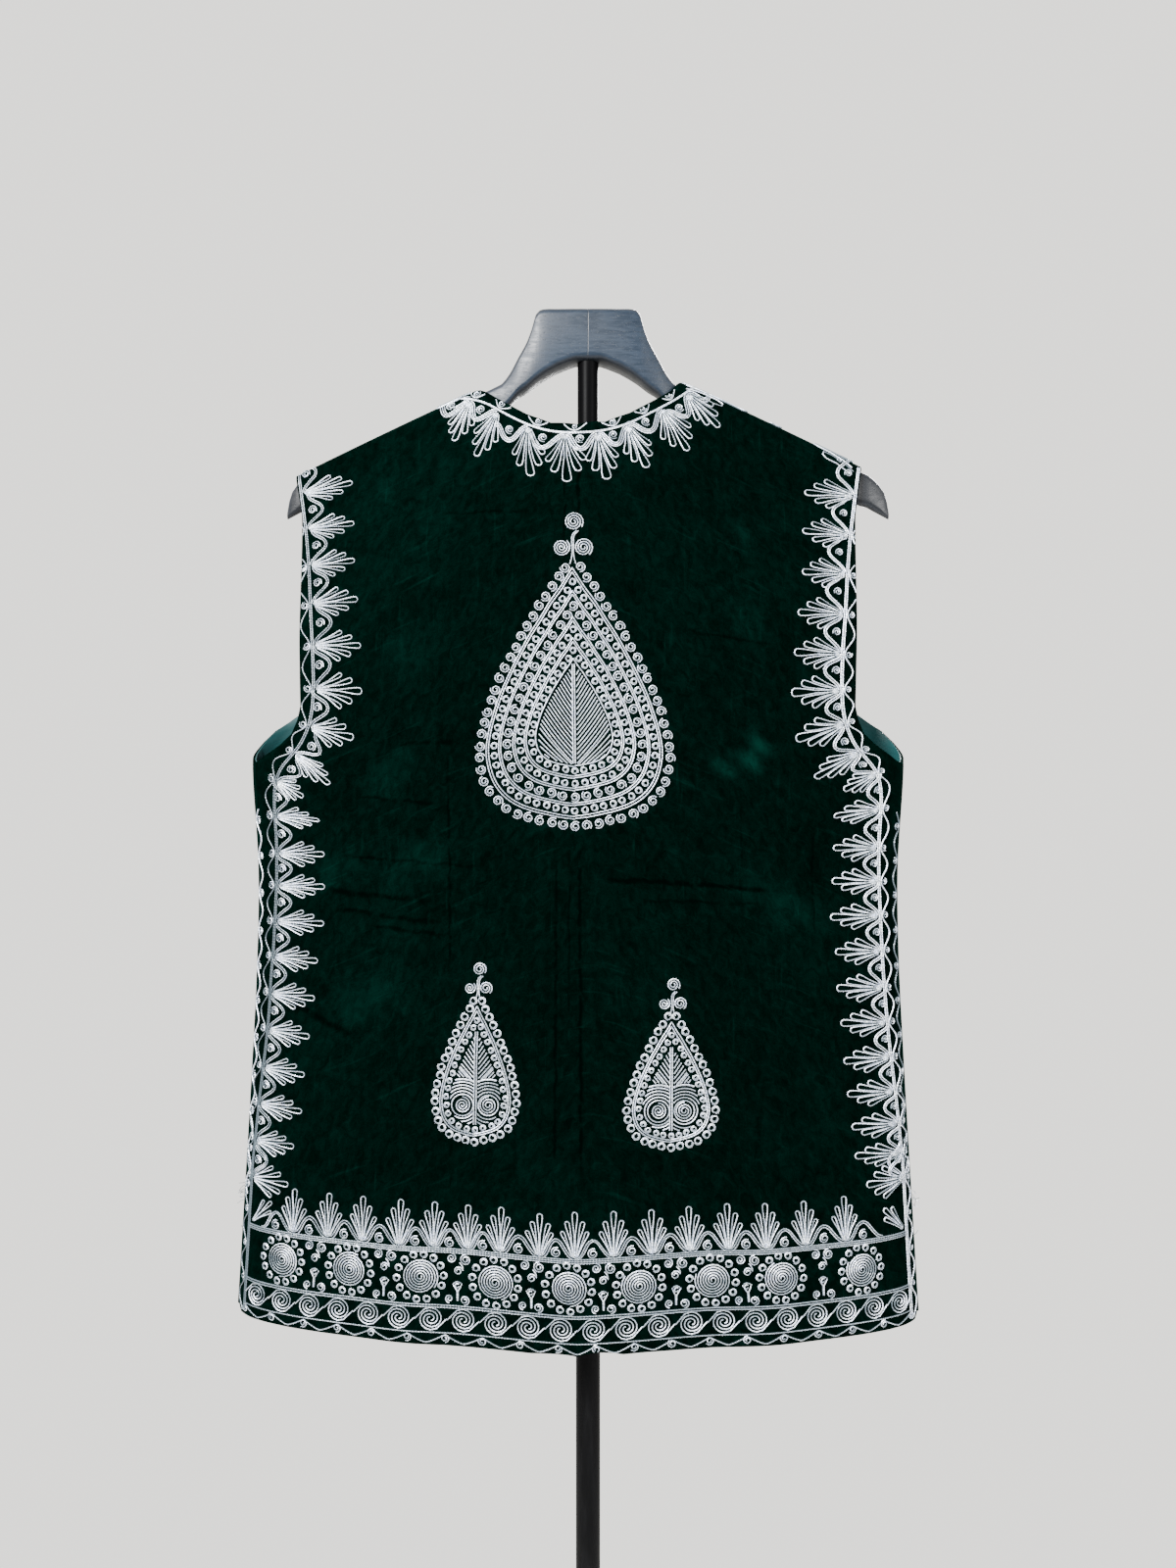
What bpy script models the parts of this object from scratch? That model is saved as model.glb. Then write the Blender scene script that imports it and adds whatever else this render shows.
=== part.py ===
"""Embroidered velvet waistcoat on a telescoping hanger stand.

Metres, +Z up. The origin is the middle of the base's underside and the pole is the Z axis. The back of
the waistcoat faces -Y, its fronts face +Y, and its left side is at -X.

The cloth is one smooth surface round the body, drawn with two lengths: u runs round the body from the
centre back, w runs down the cloth from the shoulder line. Every panel, lining and embroidered patch is
an outline in (u, w), filled with triangles, laid on that surface and given its thickness.
"""

import math

import bmesh
import bpy
import numpy as np
from mathutils import Vector
from mathutils.geometry import delaunay_2d_cdt

NAME = "embroidered_vest_on_hanger_stand"
MM = 0.001
GAP = 0.3 * MM

# Stand
BASE_RADIUS = 0.150
BASE_HEIGHT = 0.007
BASE_EDGE = 0.0015
SOCKET_RADIUS = 0.019
SOCKET_HEIGHT = 0.028
LOWER_RADIUS = 0.0092
LOWER_BORE = 0.0083
LOWER_TOP = 1.000
PLUG = 0.004
COLLAR_RADIUS = 0.0140
COLLAR_EDGE = 0.002
COLLAR_LOW = 0.962
COLLAR_TOP = 1.006
UPPER_RADIUS = 0.0080
UPPER_BORE = 0.0070
UPPER_LOW = 0.700
ROUND_SIDES = 32
SHARP = math.radians(40)

# Hanger head, half of it. Between HANGER_ROWS and TIP_ROWS the arm runs straight under the shoulder line
HANGER_TOP = 1.550
ARCH_TOP = 1.511
ARM_DEPTH = 0.0262
ARM_THICK = 0.0092
BLOCK_THICK = 0.0240
HANGER_ROWS = (
    # x, z_top, z_low, thickness
    (0.0000, HANGER_TOP, ARCH_TOP, BLOCK_THICK),
    (0.0095, HANGER_TOP, ARCH_TOP, BLOCK_THICK),
    (0.0140, HANGER_TOP, 1.5096, BLOCK_THICK),
    (0.0240, HANGER_TOP, 1.5056, 0.0236),
    (0.0330, HANGER_TOP, 1.5004, 0.0228),
    (0.0367, 1.5492, 1.4980, 0.0222),
    (0.0398, 1.5455, 1.4957, 0.0216),
    (0.0425, 1.5360, 1.4935, 0.0210),
    (0.0462, 1.5262, 1.4905, 0.0198),
    (0.0530, 1.5145, 1.4860, 0.0172),
    (0.0590, 1.5040, 1.4798, 0.0138),
    (0.0655, 1.4962, 1.4735, 0.0104),
)
ARM_START = 0.0705
ARM_END = 0.2116
TIP_ROWS = (
    (0.2165, 1.4302, 1.4048, 0.0104),
    (0.2215, 1.4267, 1.4023, 0.0098),
    (0.2260, 1.4226, 1.4001, 0.0088),
    (0.2297, 1.4178, 1.3983, 0.0074),
    (0.2322, 1.4108, 1.3971, 0.0058),
    (0.2340, 1.4020, 1.3962, 0.0040),
)
TIP_FORWARD = 0.015
ARM_STEPS = 8

# Cloth: shoulder line over the hanger, and how it falls from there
VEST_SHIFT = -0.0075
RIDGE_TOP = 1.5208
RIDGE_SLOPE = 0.4417
RIDGE_ROUND = 0.020
RIDGE_RADIUS = 0.0090
FALL = 0.150
FORWARD_FROM = 0.032
FORWARD_FALL = 0.200
FOLD_EDGE = 0.42
SEAM_ANGLE = math.radians(80)

# Round the body at each height: half of the width, depth of the back and of the fronts from the pole
SECTION_COLUMNS = ("z", "half_width", "back", "front")
SECTIONS = (
    (0.760, 0.2606, 0.0755, 0.0440),
    (0.890, 0.2528, 0.0730, 0.0480),
    (0.980, 0.2476, 0.0700, 0.0505),
    (1.062, 0.2437, 0.0665, 0.0510),
    (1.123, 0.2430, 0.0635, 0.0500),
    (1.201, 0.2476, 0.0605, 0.0480),
    (1.350, 0.2476, 0.0580, 0.0450),
    (1.520, 0.2476, 0.0580, 0.0430),
)
NOMINAL_WIDTH = 0.2476
NOMINAL_BACK = 0.062
NOMINAL_FRONT = 0.048
ARC_SAMPLES = 1801

# Largest folds and pressed creases: which side, ends (x, z) of the line, half width, height
FOLD_COLUMNS = ("side", "x0", "z0", "x1", "z1", "half_width", "height")
FOLDS = (
    ("back", -0.012, 1.080, -0.010, 0.920, 0.006, 0.0010),
    ("back", -0.083, 1.245, -0.088, 1.100, 0.008, 0.0012),
    ("back", -0.190, 1.108, -0.070, 1.092, 0.012, -0.0016),
    ("back", -0.200, 1.040, -0.085, 1.000, 0.014, 0.0018),
    ("back", -0.165, 1.318, -0.060, 1.306, 0.012, -0.0014),
    ("back", 0.020, 1.118, 0.170, 1.110, 0.012, -0.0016),
    ("back", 0.130, 1.330, 0.175, 1.180, 0.018, 0.0020),
    ("back", -0.130, 0.960, -0.120, 0.800, 0.030, 0.0030),
    ("back", 0.125, 0.980, 0.135, 0.800, 0.030, 0.0030),
    ("front", -0.120, 1.330, -0.085, 1.080, 0.022, 0.0026),
    ("front", 0.125, 1.320, 0.090, 1.060, 0.022, 0.0026),
    ("front", -0.180, 1.120, -0.060, 1.100, 0.013, -0.0016),
    ("front", 0.185, 1.050, 0.060, 1.075, 0.014, -0.0016),
    ("front", -0.110, 0.980, -0.100, 0.800, 0.028, 0.0026),
    ("front", 0.105, 0.960, 0.112, 0.800, 0.028, 0.0026),
)

# Cut of the panels: (x, z) of each edge, from the middle of the waistcoat
NECK_HALF = 0.081
SHOULDER_HALF = 0.2195
BACK_NECK = ((0.0, 1.4565), (0.020, 1.4590), (0.0385, 1.4677), (0.0555, 1.4785), (0.0700, 1.4875))
BACK_ARMHOLE = (
    (0.2120, 1.395),
    (0.2085, 1.340),
    (0.2053, 1.280),
    (0.2038, 1.247),
    (0.2060, 1.2366),
    (0.2104, 1.2270),
    (0.2196, 1.2190),
    (0.2300, 1.2125),
    (0.2379, 1.2075),
)
FRONT_ARMHOLE = (
    (0.2110, 1.395),
    (0.2030, 1.340),
    (0.2000, 1.290),
    (0.2060, 1.262),
    (0.2155, 1.2477),
    (0.2280, 1.2380),
    (0.2370, 1.2316),
    (0.2440, 1.2230),
)
ARMHOLE_LOW = 1.2060
ARMHOLE_SIDE = 1.2130
FRONT_EDGE = (
    (0.0760, 1.470),
    (0.0690, 1.430),
    (0.0580, 1.385),
    (0.0430, 1.338),
    (0.0260, 1.298),
    (0.0125, 1.272),
    (0.0065, 1.252),
    (0.0060, 1.220),
    (0.0060, 1.100),
    (0.0070, 0.950),
    (0.0090, 0.840),
)
HEM_BACK = 0.7885
HEM_SIDE = 0.7945
HEM_FRONT = 0.7925
HEM_CORNER = 0.012
CORNER_RISE = HEM_CORNER / 3
HEM_SWEEP = 0.32
HEM_TILT = 0.003

# Cloth and embroidery thickness, and how far the hanger lies under the cloth's outer face
VELVET = 1.5 * MM
LINING = 1.0 * MM
EMBROIDERY = 1.0 * MM
UNDER = (VELVET + LINING + 3 * GAP) * math.hypot(1, RIDGE_SLOPE)

# Points of the cloth: their spacing round the body and down it, rows over the shoulder's roll, how far
# they keep from an outline, and the small step that finds the cloth's facing
COLUMN_STEP = math.radians(7.3)
ROW_STEP = 0.049
RIDGE_ROWS = (0.0037, 0.0074, 0.0110, 0.0143)
POINT_CLEAR = 0.0020
ANGLE_CLEAR = 0.03
NORMAL_STEP = 0.0004

# Embroidered borders: where they start below the shoulder, the double line they stand on, tips and
# valleys of the palmettes
BORDER_START = 0.0168
SIDE_LINE_SHARE = 0.955
BACK_SIDE_LINE = (
    (0.2137, 1.4200),
    (0.2110, 1.4030),
    (0.2065, 1.3790),
    (0.2012, 1.3470),
    (0.1975, 1.3180),
    (0.1943, 1.2900),
    (0.1928, 1.2620),
    (0.1936, 1.2400),
    (0.1990, 1.2240),
    (0.2060, 1.2135),
    (0.2150, 1.2060),
    (0.2212, 1.1970),
    (0.2236, 1.1880),
    (0.2236, 1.1700),
)
FRONT_SIDE_LINE = (
    (0.2070, 1.420),
    (0.1960, 1.345),
    (0.1910, 1.290),
    (0.1960, 1.250),
    (0.2080, 1.226),
    (0.2230, 1.208),
    (0.2330, 1.188),
)
SIDE_LINE_TOP = 1.150
SIDE_LINE_LOW = 0.912
# Palmettes down each side of the back, in mm from the top of its line
SIDE_PALMETTES = {
    -1: (10, 39, 70, 101, 132.5, 165, 193, 216, 243, 270, 297, 321, 347, 373, 400, 427, 455, 482, 509),
    1: (12, 45, 77, 109, 139, 166, 191, 215, 237, 265, 293, 318, 343, 369, 396, 422, 447.5, 473, 497, 519),
}
BACK_SIDE_SHARES = (
    (0.912, 0.955),
    (0.950, 0.947),
    (1.000, 0.930),
    (1.050, 0.922),
    (1.120, 0.914),
    (1.150, 0.908),
)
PALMETTE_PITCH = 0.0262
NECK_PITCH = 0.0235
PALMETTE_TIP = 0.039
TURN_LENGTH = 0.045
PALMETTE_VALLEY = 0.017
EDGE_MARGIN = 0.0012
HEM_TIP_RISE = 0.104
HEM_VALLEY_RISE = 0.082
HEM_MARGIN = 0.003
HEM_TIP_MIDDLE = -0.0027
HEM_STEP_LEFT = 0.0253
HEM_STEP_RIGHT = 0.0274
BACK_TIPS = (-9, 9)
FRONT_PALMETTES = 9
SEAM_CLEAR = 0.0020
EDGE_LINE_IN = 0.0095

# Drop-shaped medallions: middle x, top z, bottom z, width
MEDALLION_COLUMNS = ("side", "x", "z_top", "z_low", "width")
MEDALLIONS = {
    "medallion_back_large": ("back", -0.0003, 1.3850, 1.1555, 0.1400),
    "medallion_back_left": ("back", -0.0725, 1.0655, 0.9350, 0.0640),
    "medallion_back_right": ("back", 0.0660, 1.0540, 0.9310, 0.0690),
    "medallion_front_left": ("front", -0.1080, 1.0800, 0.9500, 0.0640),
    "medallion_front_right": ("front", 0.1080, 1.0800, 0.9500, 0.0640),
}
# Height from the bottom and half width, as shares of the medallion's
DROP_PROFILE = (
    (0.000, 0.00),
    (0.010, 0.36),
    (0.045, 0.66),
    (0.110, 0.90),
    (0.200, 1.00),
    (0.300, 0.95),
    (0.440, 0.77),
    (0.600, 0.50),
    (0.740, 0.26),
    (0.800, 0.18),
    (0.840, 0.16),
    (0.905, 0.16),
    (0.940, 0.09),
    (0.975, 0.09),
    (1.000, 0.00),
)

MATERIALS = {
    # colour, roughness, metallic
    "velvet": ((0.004, 0.036, 0.024), 0.85, 0.0),
    "lining": ((0.010, 0.050, 0.052), 0.35, 0.0),
    "silver_cord": ((0.62, 0.61, 0.66), 0.45, 0.6),
    "black_stained_wood": ((0.022, 0.024, 0.028), 0.42, 0.0),
    "satin_black_steel": ((0.012, 0.012, 0.013), 0.35, 0.0),
    "gloss_black_steel": ((0.010, 0.010, 0.011), 0.18, 0.0),
    "black_plastic": ((0.015, 0.015, 0.016), 0.50, 0.0),
}


def clear_scene():
    for thing in list(bpy.data.objects):
        bpy.data.objects.remove(thing, do_unlink=True)


def make_materials():
    made = {}
    for name, (colour, roughness, metallic) in MATERIALS.items():
        material = bpy.data.materials.new(name)
        material.use_nodes = True
        shader = material.node_tree.nodes["Principled BSDF"]
        shader.inputs["Base Color"].default_value = (*colour, 1)
        shader.inputs["Roughness"].default_value = roughness
        shader.inputs["Metallic"].default_value = metallic
        made[name] = material
    return made


def add_object(name, mesh, material):
    thing = bpy.data.objects.new(name, mesh)
    thing.data.materials.append(material)
    bpy.data.collections[NAME].objects.link(thing)
    return thing


# ---------------------------------------------------------------- cloth surface


def smooth_curve(at, rows):
    """A smooth curve through rows of (position, value), with its slope at each row from its neighbours."""
    place, value = np.array(rows, float).T
    slope = np.gradient(value, place)
    low = np.clip(np.searchsorted(place, at) - 1, 0, len(place) - 2)
    span = place[low + 1] - place[low]
    t = np.clip((at - place[low]) / span, 0, 1)
    rise = value[low] * (1 - t) ** 2 * (1 + 2 * t) + value[low + 1] * t**2 * (3 - 2 * t)
    return rise + span * (slope[low] * t * (1 - t) ** 2 - slope[low + 1] * t**2 * (1 - t))


def section_rows(column):
    index = SECTION_COLUMNS.index(column)
    return [(row[0], row[index]) for row in SECTIONS]


def arc_table():
    """Length round half of the nominal section against the angle from the centre back."""
    angle = np.linspace(0, math.pi, ARC_SAMPLES)
    depth = np.where(angle < math.pi / 2, NOMINAL_BACK, NOMINAL_FRONT)
    speed = np.hypot(NOMINAL_WIDTH * np.cos(angle), depth * np.sin(angle))
    step = (speed[1:] + speed[:-1]) / 2 * np.diff(angle)
    return angle, np.concatenate([[0], np.cumsum(step)])


ANGLES, ARCS = arc_table()


def u_of_angle(angle):
    return np.sign(angle) * np.interp(np.abs(angle), ANGLES, ARCS)


def angle_of_u(u):
    return np.sign(u) * np.interp(np.abs(u), ARCS, ANGLES)


def ridge_height(x_world):
    """Height of the shoulder line: it lies on the hanger, whose middle is at x = 0."""
    return RIDGE_TOP - RIDGE_SLOPE * (np.hypot(x_world, RIDGE_ROUND) - RIDGE_ROUND)


def ridge_forward(x_world):
    return TIP_FORWARD * (x_world / ARM_END) ** 2


def w_of_drop(drop):
    over = RIDGE_RADIUS * np.arccos(np.clip(1 - drop / RIDGE_RADIUS, -1, 1))
    return np.where(drop < RIDGE_RADIUS, over, drop + RIDGE_RADIUS * (math.pi / 2 - 1))


def drop_of_w(w):
    over = RIDGE_RADIUS * (1 - np.cos(np.clip(w / RIDGE_RADIUS, 0, math.pi / 2)))
    return np.where(w < RIDGE_RADIUS * math.pi / 2, over, w - RIDGE_RADIUS * (math.pi / 2 - 1))


def ease(t):
    t = np.clip(t, 0, 1)
    return t * t * (3 - 2 * t)


def fold_lift(x, z, front):
    """How far the folds push the cloth out at (x, z)."""
    lift = np.zeros_like(x)
    for side, x0, z0, x1, z1, half_width, height in FOLDS:
        along = np.array((x1 - x0, z1 - z0))
        length = np.hypot(*along)
        along = along / length
        run = (x - x0) * along[0] + (z - z0) * along[1]
        off = (x - x0) * along[1] - (z - z0) * along[0]
        beyond = np.maximum(0, np.maximum(-run, run - length))
        shape = np.exp(-((off / half_width) ** 2) - (beyond / (2 * half_width)) ** 2)
        lift += height * shape * (front if side == "front" else ~front)
    return lift


def surface(u, w):
    """Points of the cloth's outer face before its folds, and how far the folds lift them."""
    angle = angle_of_u(u)
    side, facing = np.sin(angle), np.cos(angle)
    drop = drop_of_w(w)
    half = NOMINAL_WIDTH
    for _ in range(3):
        x = half * side + VEST_SHIFT
        z = ridge_height(x) - drop
        half = smooth_curve(z, section_rows("half_width"))
    x = half * side + VEST_SHIFT
    front = facing < 0
    rows = np.where(
        front, smooth_curve(z, section_rows("front")), smooth_curve(z, section_rows("back"))
    )
    roll = np.sin(np.clip(w / RIDGE_RADIUS, 0, math.pi / 2))
    edge = np.sin(math.pi / 2 * np.clip(np.abs(facing) / FOLD_EDGE, 0, 1))
    fall = ease(drop / FALL)
    depth = RIDGE_RADIUS * roll * edge + (rows - RIDGE_RADIUS) * np.abs(facing) * fall
    forward = ridge_forward(x) * (1 - ease((drop - FORWARD_FROM) / FORWARD_FALL))
    y = forward - np.sign(facing) * depth
    return np.stack([x, y, z], axis=-1), fold_lift(x - VEST_SHIFT, z, front) * fall


def cloth(points, lift):
    """World points at (u, w), moved out from the cloth's outer face by lift."""
    u, w = np.array(points, float).T
    here, folds = surface(u, w)
    across = surface(u + NORMAL_STEP, w)[0] - surface(u - NORMAL_STEP, w)[0]
    down = surface(u, w + NORMAL_STEP)[0] - surface(u, np.maximum(w - NORMAL_STEP, 0))[0]
    out = np.cross(down, across)
    out /= np.linalg.norm(out, axis=1)[:, None]
    return here + out * (folds + lift)[:, None]


def on_cloth(x, z, front=False):
    """(u, w) of the point at x from the middle of the waistcoat and height z."""
    half = float(smooth_curve(np.array(z), section_rows("half_width")))
    angle = math.asin(max(-1.0, min(1.0, x / half)))
    if front:
        angle = math.copysign(math.pi, x) - angle
    drop = float(ridge_height(x + VEST_SHIFT)) - z
    return float(u_of_angle(angle)), float(w_of_drop(max(drop, 0.0)))


def at_angle(angle, z):
    """(u, w) of the point at an angle round the body and height z."""
    half = float(smooth_curve(np.array(z), section_rows("half_width")))
    x = half * math.sin(angle) + VEST_SHIFT
    return float(u_of_angle(angle)), float(w_of_drop(float(ridge_height(x)) - z))


# ---------------------------------------------------------------- outlines in (u, w)


def columns():
    """Columns of points round the body, evenly by angle."""
    count = int(math.pi // COLUMN_STEP) + 1
    return np.linspace(-math.pi, math.pi, 2 * count + 1)


def rows():
    lowest = float(w_of_drop(RIDGE_TOP - HEM_BACK)) + ROW_STEP
    return np.concatenate([RIDGE_ROWS, np.arange(RIDGE_ROWS[-1] + ROW_STEP / 2, lowest, ROW_STEP)])


def between(start, end):
    """Points from start up to but not at end, evenly spaced, no farther apart than a row."""
    start, end = np.array(start), np.array(end)
    count = max(1, math.ceil(np.linalg.norm(end - start) / ROW_STEP))
    return [tuple(start + (end - start) * i / count) for i in range(count)]


def through(points):
    """Points along straight runs between the given ones."""
    line = []
    for start, end in zip(points, points[1:]):
        line += between(start, end)
    return line + [tuple(points[-1])]


def shoulder_edge(side, front):
    """The seam on top of the shoulder, from the neck out, half a gap down its own side."""
    inner, outer = (side * half for half in (NECK_HALF, SHOULDER_HALF))
    ends = [on_cloth(x, ridge_height(x + VEST_SHIFT), front)[0] for x in (inner, outer)]
    inside = [
        u
        for u in u_of_angle(columns())
        if min(ends) + POINT_CLEAR < u < max(ends) - POINT_CLEAR
    ]
    inside = sorted(inside, key=lambda u: abs(u - ends[0]))
    return [(float(u), GAP / 2) for u in (ends[0], *inside, ends[1])]


def hem_height(angle):
    """The hem is lowest at the centre back, level across the fronts and a little higher on the left."""
    turn = abs(angle) / SEAM_ANGLE
    tilt = HEM_TILT * math.sin(angle)
    if turn <= 1:
        share = math.sin(math.pi / 2 * min((turn / HEM_SWEEP) ** 1.25, 1.0))
        return HEM_BACK + (HEM_SIDE - HEM_BACK) * share - tilt
    return HEM_SIDE + (HEM_FRONT - HEM_SIDE) * (abs(angle) - SEAM_ANGLE) / (math.pi - SEAM_ANGLE) - tilt


def hem_edge(start, end, rise=0.0):
    """The hem between two angles, or a line that runs above it."""
    first, last = min(start, end) + ANGLE_CLEAR, max(start, end) - ANGLE_CLEAR
    inside = [a for a in columns() if first < a < last]
    inside.sort(reverse=start > end)
    return [at_angle(a, hem_height(a) + rise) for a in (start, *inside, end)]


def seam_angle(side, front):
    """Side seam, half a gap to its own side."""
    return side * (SEAM_ANGLE + (GAP if front else -GAP) / 2 / NOMINAL_BACK)


def side_seam(side, front, low, high):
    """The side seam from its low end up."""
    angle = seam_angle(side, front)
    return through([at_angle(angle, low), at_angle(angle, high)])


def armhole(side, front):
    """From the shoulder down to the side seam, without its ends."""
    cut = FRONT_ARMHOLE if front else BACK_ARMHOLE
    points = [on_cloth(side * x, z, front) for x, z in cut]
    if front:
        points.append(at_angle(side * math.pi / 2, ARMHOLE_SIDE))
    return points


def back_half(side):
    """Half of the back from the neck's middle out and round to the hem's middle."""
    neck = [on_cloth(side * x, z) for x, z in BACK_NECK]
    seam = side_seam(side, False, hem_height(side * SEAM_ANGLE) + CORNER_RISE, ARMHOLE_LOW)
    hem = hem_edge(side * (SEAM_ANGLE - CORNER_RISE / NOMINAL_BACK), 0.0)
    return neck + shoulder_edge(side, False) + armhole(side, False) + seam[::-1] + hem


def back_outline():
    right = back_half(1)
    left = back_half(-1)
    return right[:-1] + left[::-1][:-1]


def front_outline(side):
    """One front, from the shoulder's neck end round by the armhole, side, hem and front edge."""
    seam = side_seam(side, True, hem_height(side * SEAM_ANGLE) + CORNER_RISE, ARMHOLE_LOW)
    edge = [on_cloth(side * x, z, True) for x, z in FRONT_EDGE]
    low_angle = side * math.pi - math.asin(side * FRONT_EDGE[-1][0] / SECTIONS[0][1])
    hem = hem_edge(seam_angle(side, True) + side * CORNER_RISE / NOMINAL_FRONT, low_angle)
    hem[-1] = (hem[-1][0] - side * HEM_CORNER / 2, hem[-1][1])
    corner = (edge[-1][0], hem[-1][1] - HEM_CORNER)
    outer = shoulder_edge(side, True) + armhole(side, True) + seam[::-1] + hem
    return outer + [corner] + edge[::-1]


def level(points):
    """(u, w) points as (u, z), where z is the height: lengths are true there, away from the shoulder."""
    u, w = np.array(points, float).T
    return np.stack([u, surface(u, w)[0][:, 2]], axis=1)


def unlevel(points):
    """(u, z) points back as (u, w), kept off the shoulder seam."""
    u, z = np.array(points, float).T
    x = np.sin(angle_of_u(u)) * smooth_curve(z, section_rows("half_width"))
    w = w_of_drop(np.maximum(ridge_height(x + VEST_SHIFT) - z, 0))
    return [(float(a), float(max(b, BORDER_START))) for a, b in zip(u, w)]


def teeth(line, turn, pitch=PALMETTE_PITCH, tips=None):
    """Tips and valleys of the palmettes that stand on a line of (u, w); turn 1 has them on its right."""
    points = level(line)
    lengths = np.concatenate([[0], np.cumsum(np.linalg.norm(np.diff(points, axis=0), axis=1))])
    if tips is None:
        places = np.linspace(0, lengths[-1], 2 * round(lengths[-1] / pitch) + 1)
    else:
        tips = np.array(tips) * MM
        places = np.sort(np.concatenate([[0, lengths[-1]], tips, (tips[1:] + tips[:-1]) / 2]))

    def along(at):
        return np.stack([np.interp(at, lengths, points[:, i]) for i in (0, 1)], axis=1)

    run = along(places + TURN_LENGTH) - along(places - TURN_LENGTH)
    run /= np.linalg.norm(run, axis=1)[:, None]
    right = np.stack([run[:, 1], -run[:, 0]], axis=1)
    far = np.where(np.arange(len(places)) % 2 == 1, PALMETTE_TIP, PALMETTE_VALLEY)
    return unlevel(along(places) + turn * right * far[:, None])


def side_line(side, front):
    """The side border's double line, from the shoulder down to the hem band."""
    line = [on_cloth(side * x, z, front) for x, z in (FRONT_SIDE_LINE if front else BACK_SIDE_LINE)]
    for z in (*np.arange(SIDE_LINE_TOP, SIDE_LINE_LOW, -ROW_STEP), SIDE_LINE_LOW):
        share = SIDE_LINE_SHARE if front else float(np.interp(z, *zip(*BACK_SIDE_SHARES)))
        angle = math.pi - math.asin(share) if front else math.asin(share)
        line.append(at_angle(side * angle, float(z)))
    return line


def side_border(side, front):
    """Armhole and side border: out to the panel's edge, in to the palmettes' tips."""
    shoulder = shoulder_edge(side, front)[-1][0]
    seam = side_seam(side, front, SIDE_LINE_LOW, ARMHOLE_LOW)
    inset = side * EDGE_MARGIN * (1 if front else -1)
    edge = armhole(side, front) + seam[::-1]
    start = shoulder + (edge[0][0] - shoulder) * BORDER_START / edge[0][1]
    edge = [(start, BORDER_START)] + edge
    outer = [(u + inset, w + EDGE_MARGIN) for u, w in edge[:-1]]
    outer.append((edge[-1][0] + inset, edge[-1][1]))
    tips = None if front else SIDE_PALMETTES[side]
    return outer + teeth(side_line(side, front), -side if front else side, tips=tips)[::-1]


def neck_border():
    """Back neck border, from shoulder to shoulder."""
    halves = []
    for side in (-1, 1):
        end = on_cloth(side * (NECK_HALF + EDGE_MARGIN), ridge_height(side * NECK_HALF + VEST_SHIFT))
        half = [on_cloth(side * x, z - EDGE_MARGIN) for x, z in BACK_NECK[1:]]
        halves.append(half + [(end[0], BORDER_START)])
    middle = on_cloth(0.0, BACK_NECK[0][1] - EDGE_MARGIN)
    outer = halves[0][::-1] + [middle] + halves[1]
    line = [(u, w + EDGE_LINE_IN) for u, w in outer]
    return outer + teeth(line, 1, NECK_PITCH)[::-1]


def hem_tips(front, start, end):
    """The u of each palmette's tip along a panel's hem, from u to u."""
    if front:
        stops = np.linspace(start, end, FRONT_PALMETTES + 1)
        return (stops[1:] + stops[:-1]) / 2
    places = np.arange(*BACK_TIPS)
    return HEM_TIP_MIDDLE + places * np.where(places < 0, HEM_STEP_LEFT, HEM_STEP_RIGHT)


def hem_band(side, front):
    """Hem band of a panel: plain below, the palmettes' tips above."""
    if front:
        start = side * (SEAM_ANGLE + SEAM_CLEAR / NOMINAL_FRONT)
        end = side * (math.pi - math.asin((FRONT_EDGE[-1][0] + 2 * EDGE_MARGIN) / NOMINAL_WIDTH))
    else:
        end = side * (SEAM_ANGLE - SEAM_CLEAR / NOMINAL_BACK)
        start = -end
    low = hem_edge(start, end, HEM_MARGIN)
    if front:
        low[-1] = (low[-1][0], low[-1][1] - HEM_CORNER)
    sides = u_of_angle(np.array((start, end)))
    tips = hem_tips(front, *sides)
    stops = np.empty(2 * len(tips) + 1)
    stops[1::2] = tips
    stops[0::2] = (sides[0], *((tips[1:] + tips[:-1]) / 2), sides[1])
    high = []
    for index, u in enumerate(stops):
        angle = float(angle_of_u(u))
        rise = HEM_TIP_RISE if index % 2 else HEM_VALLEY_RISE
        high.append(at_angle(angle, hem_height(angle) + rise))
    return low + high[::-1]


def front_border(side):
    """Neck and front edge border of one front, from the shoulder down to the hem band."""
    low = hem_height(math.pi) + HEM_TIP_RISE + 2 * SEAM_CLEAR
    top = on_cloth(side * (NECK_HALF + EDGE_MARGIN), ridge_height(side * NECK_HALF + VEST_SHIFT), True)
    outer = [(top[0], BORDER_START)]
    outer += [on_cloth(side * (x + EDGE_MARGIN), z, True) for x, z in FRONT_EDGE if z > low]
    outer.append(on_cloth(side * (FRONT_EDGE[-1][0] + EDGE_MARGIN), low, True))
    return outer + teeth([(u - side * EDGE_LINE_IN, w) for u, w in outer], side)[::-1]


def medallion(side, x, z_top, z_low, width):
    """Drop with its coils on top."""
    height = z_top - z_low
    right = [(width / 2 * share, z_low + height * up) for up, share in DROP_PROFILE]
    left = [(-half, z) for half, z in right[-2:0:-1]]
    return [on_cloth(x + half, z, side == "front") for half, z in right + left]


# ---------------------------------------------------------------- filling an outline


def over_the_roll(outline):
    """The outline with a point wherever it crosses one of the rows over the shoulder's roll."""
    found = []
    for start, end in zip(outline, outline[1:] + outline[:1]):
        found.append(start)
        crossed = [row for row in RIDGE_ROWS if min(start[1], end[1]) < row < max(start[1], end[1])]
        for row in sorted(crossed, reverse=bool(start[1] > end[1])):
            share = (row - start[1]) / (end[1] - start[1])
            found.append((start[0] + (end[0] - start[0]) * share, row))
    return found


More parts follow.
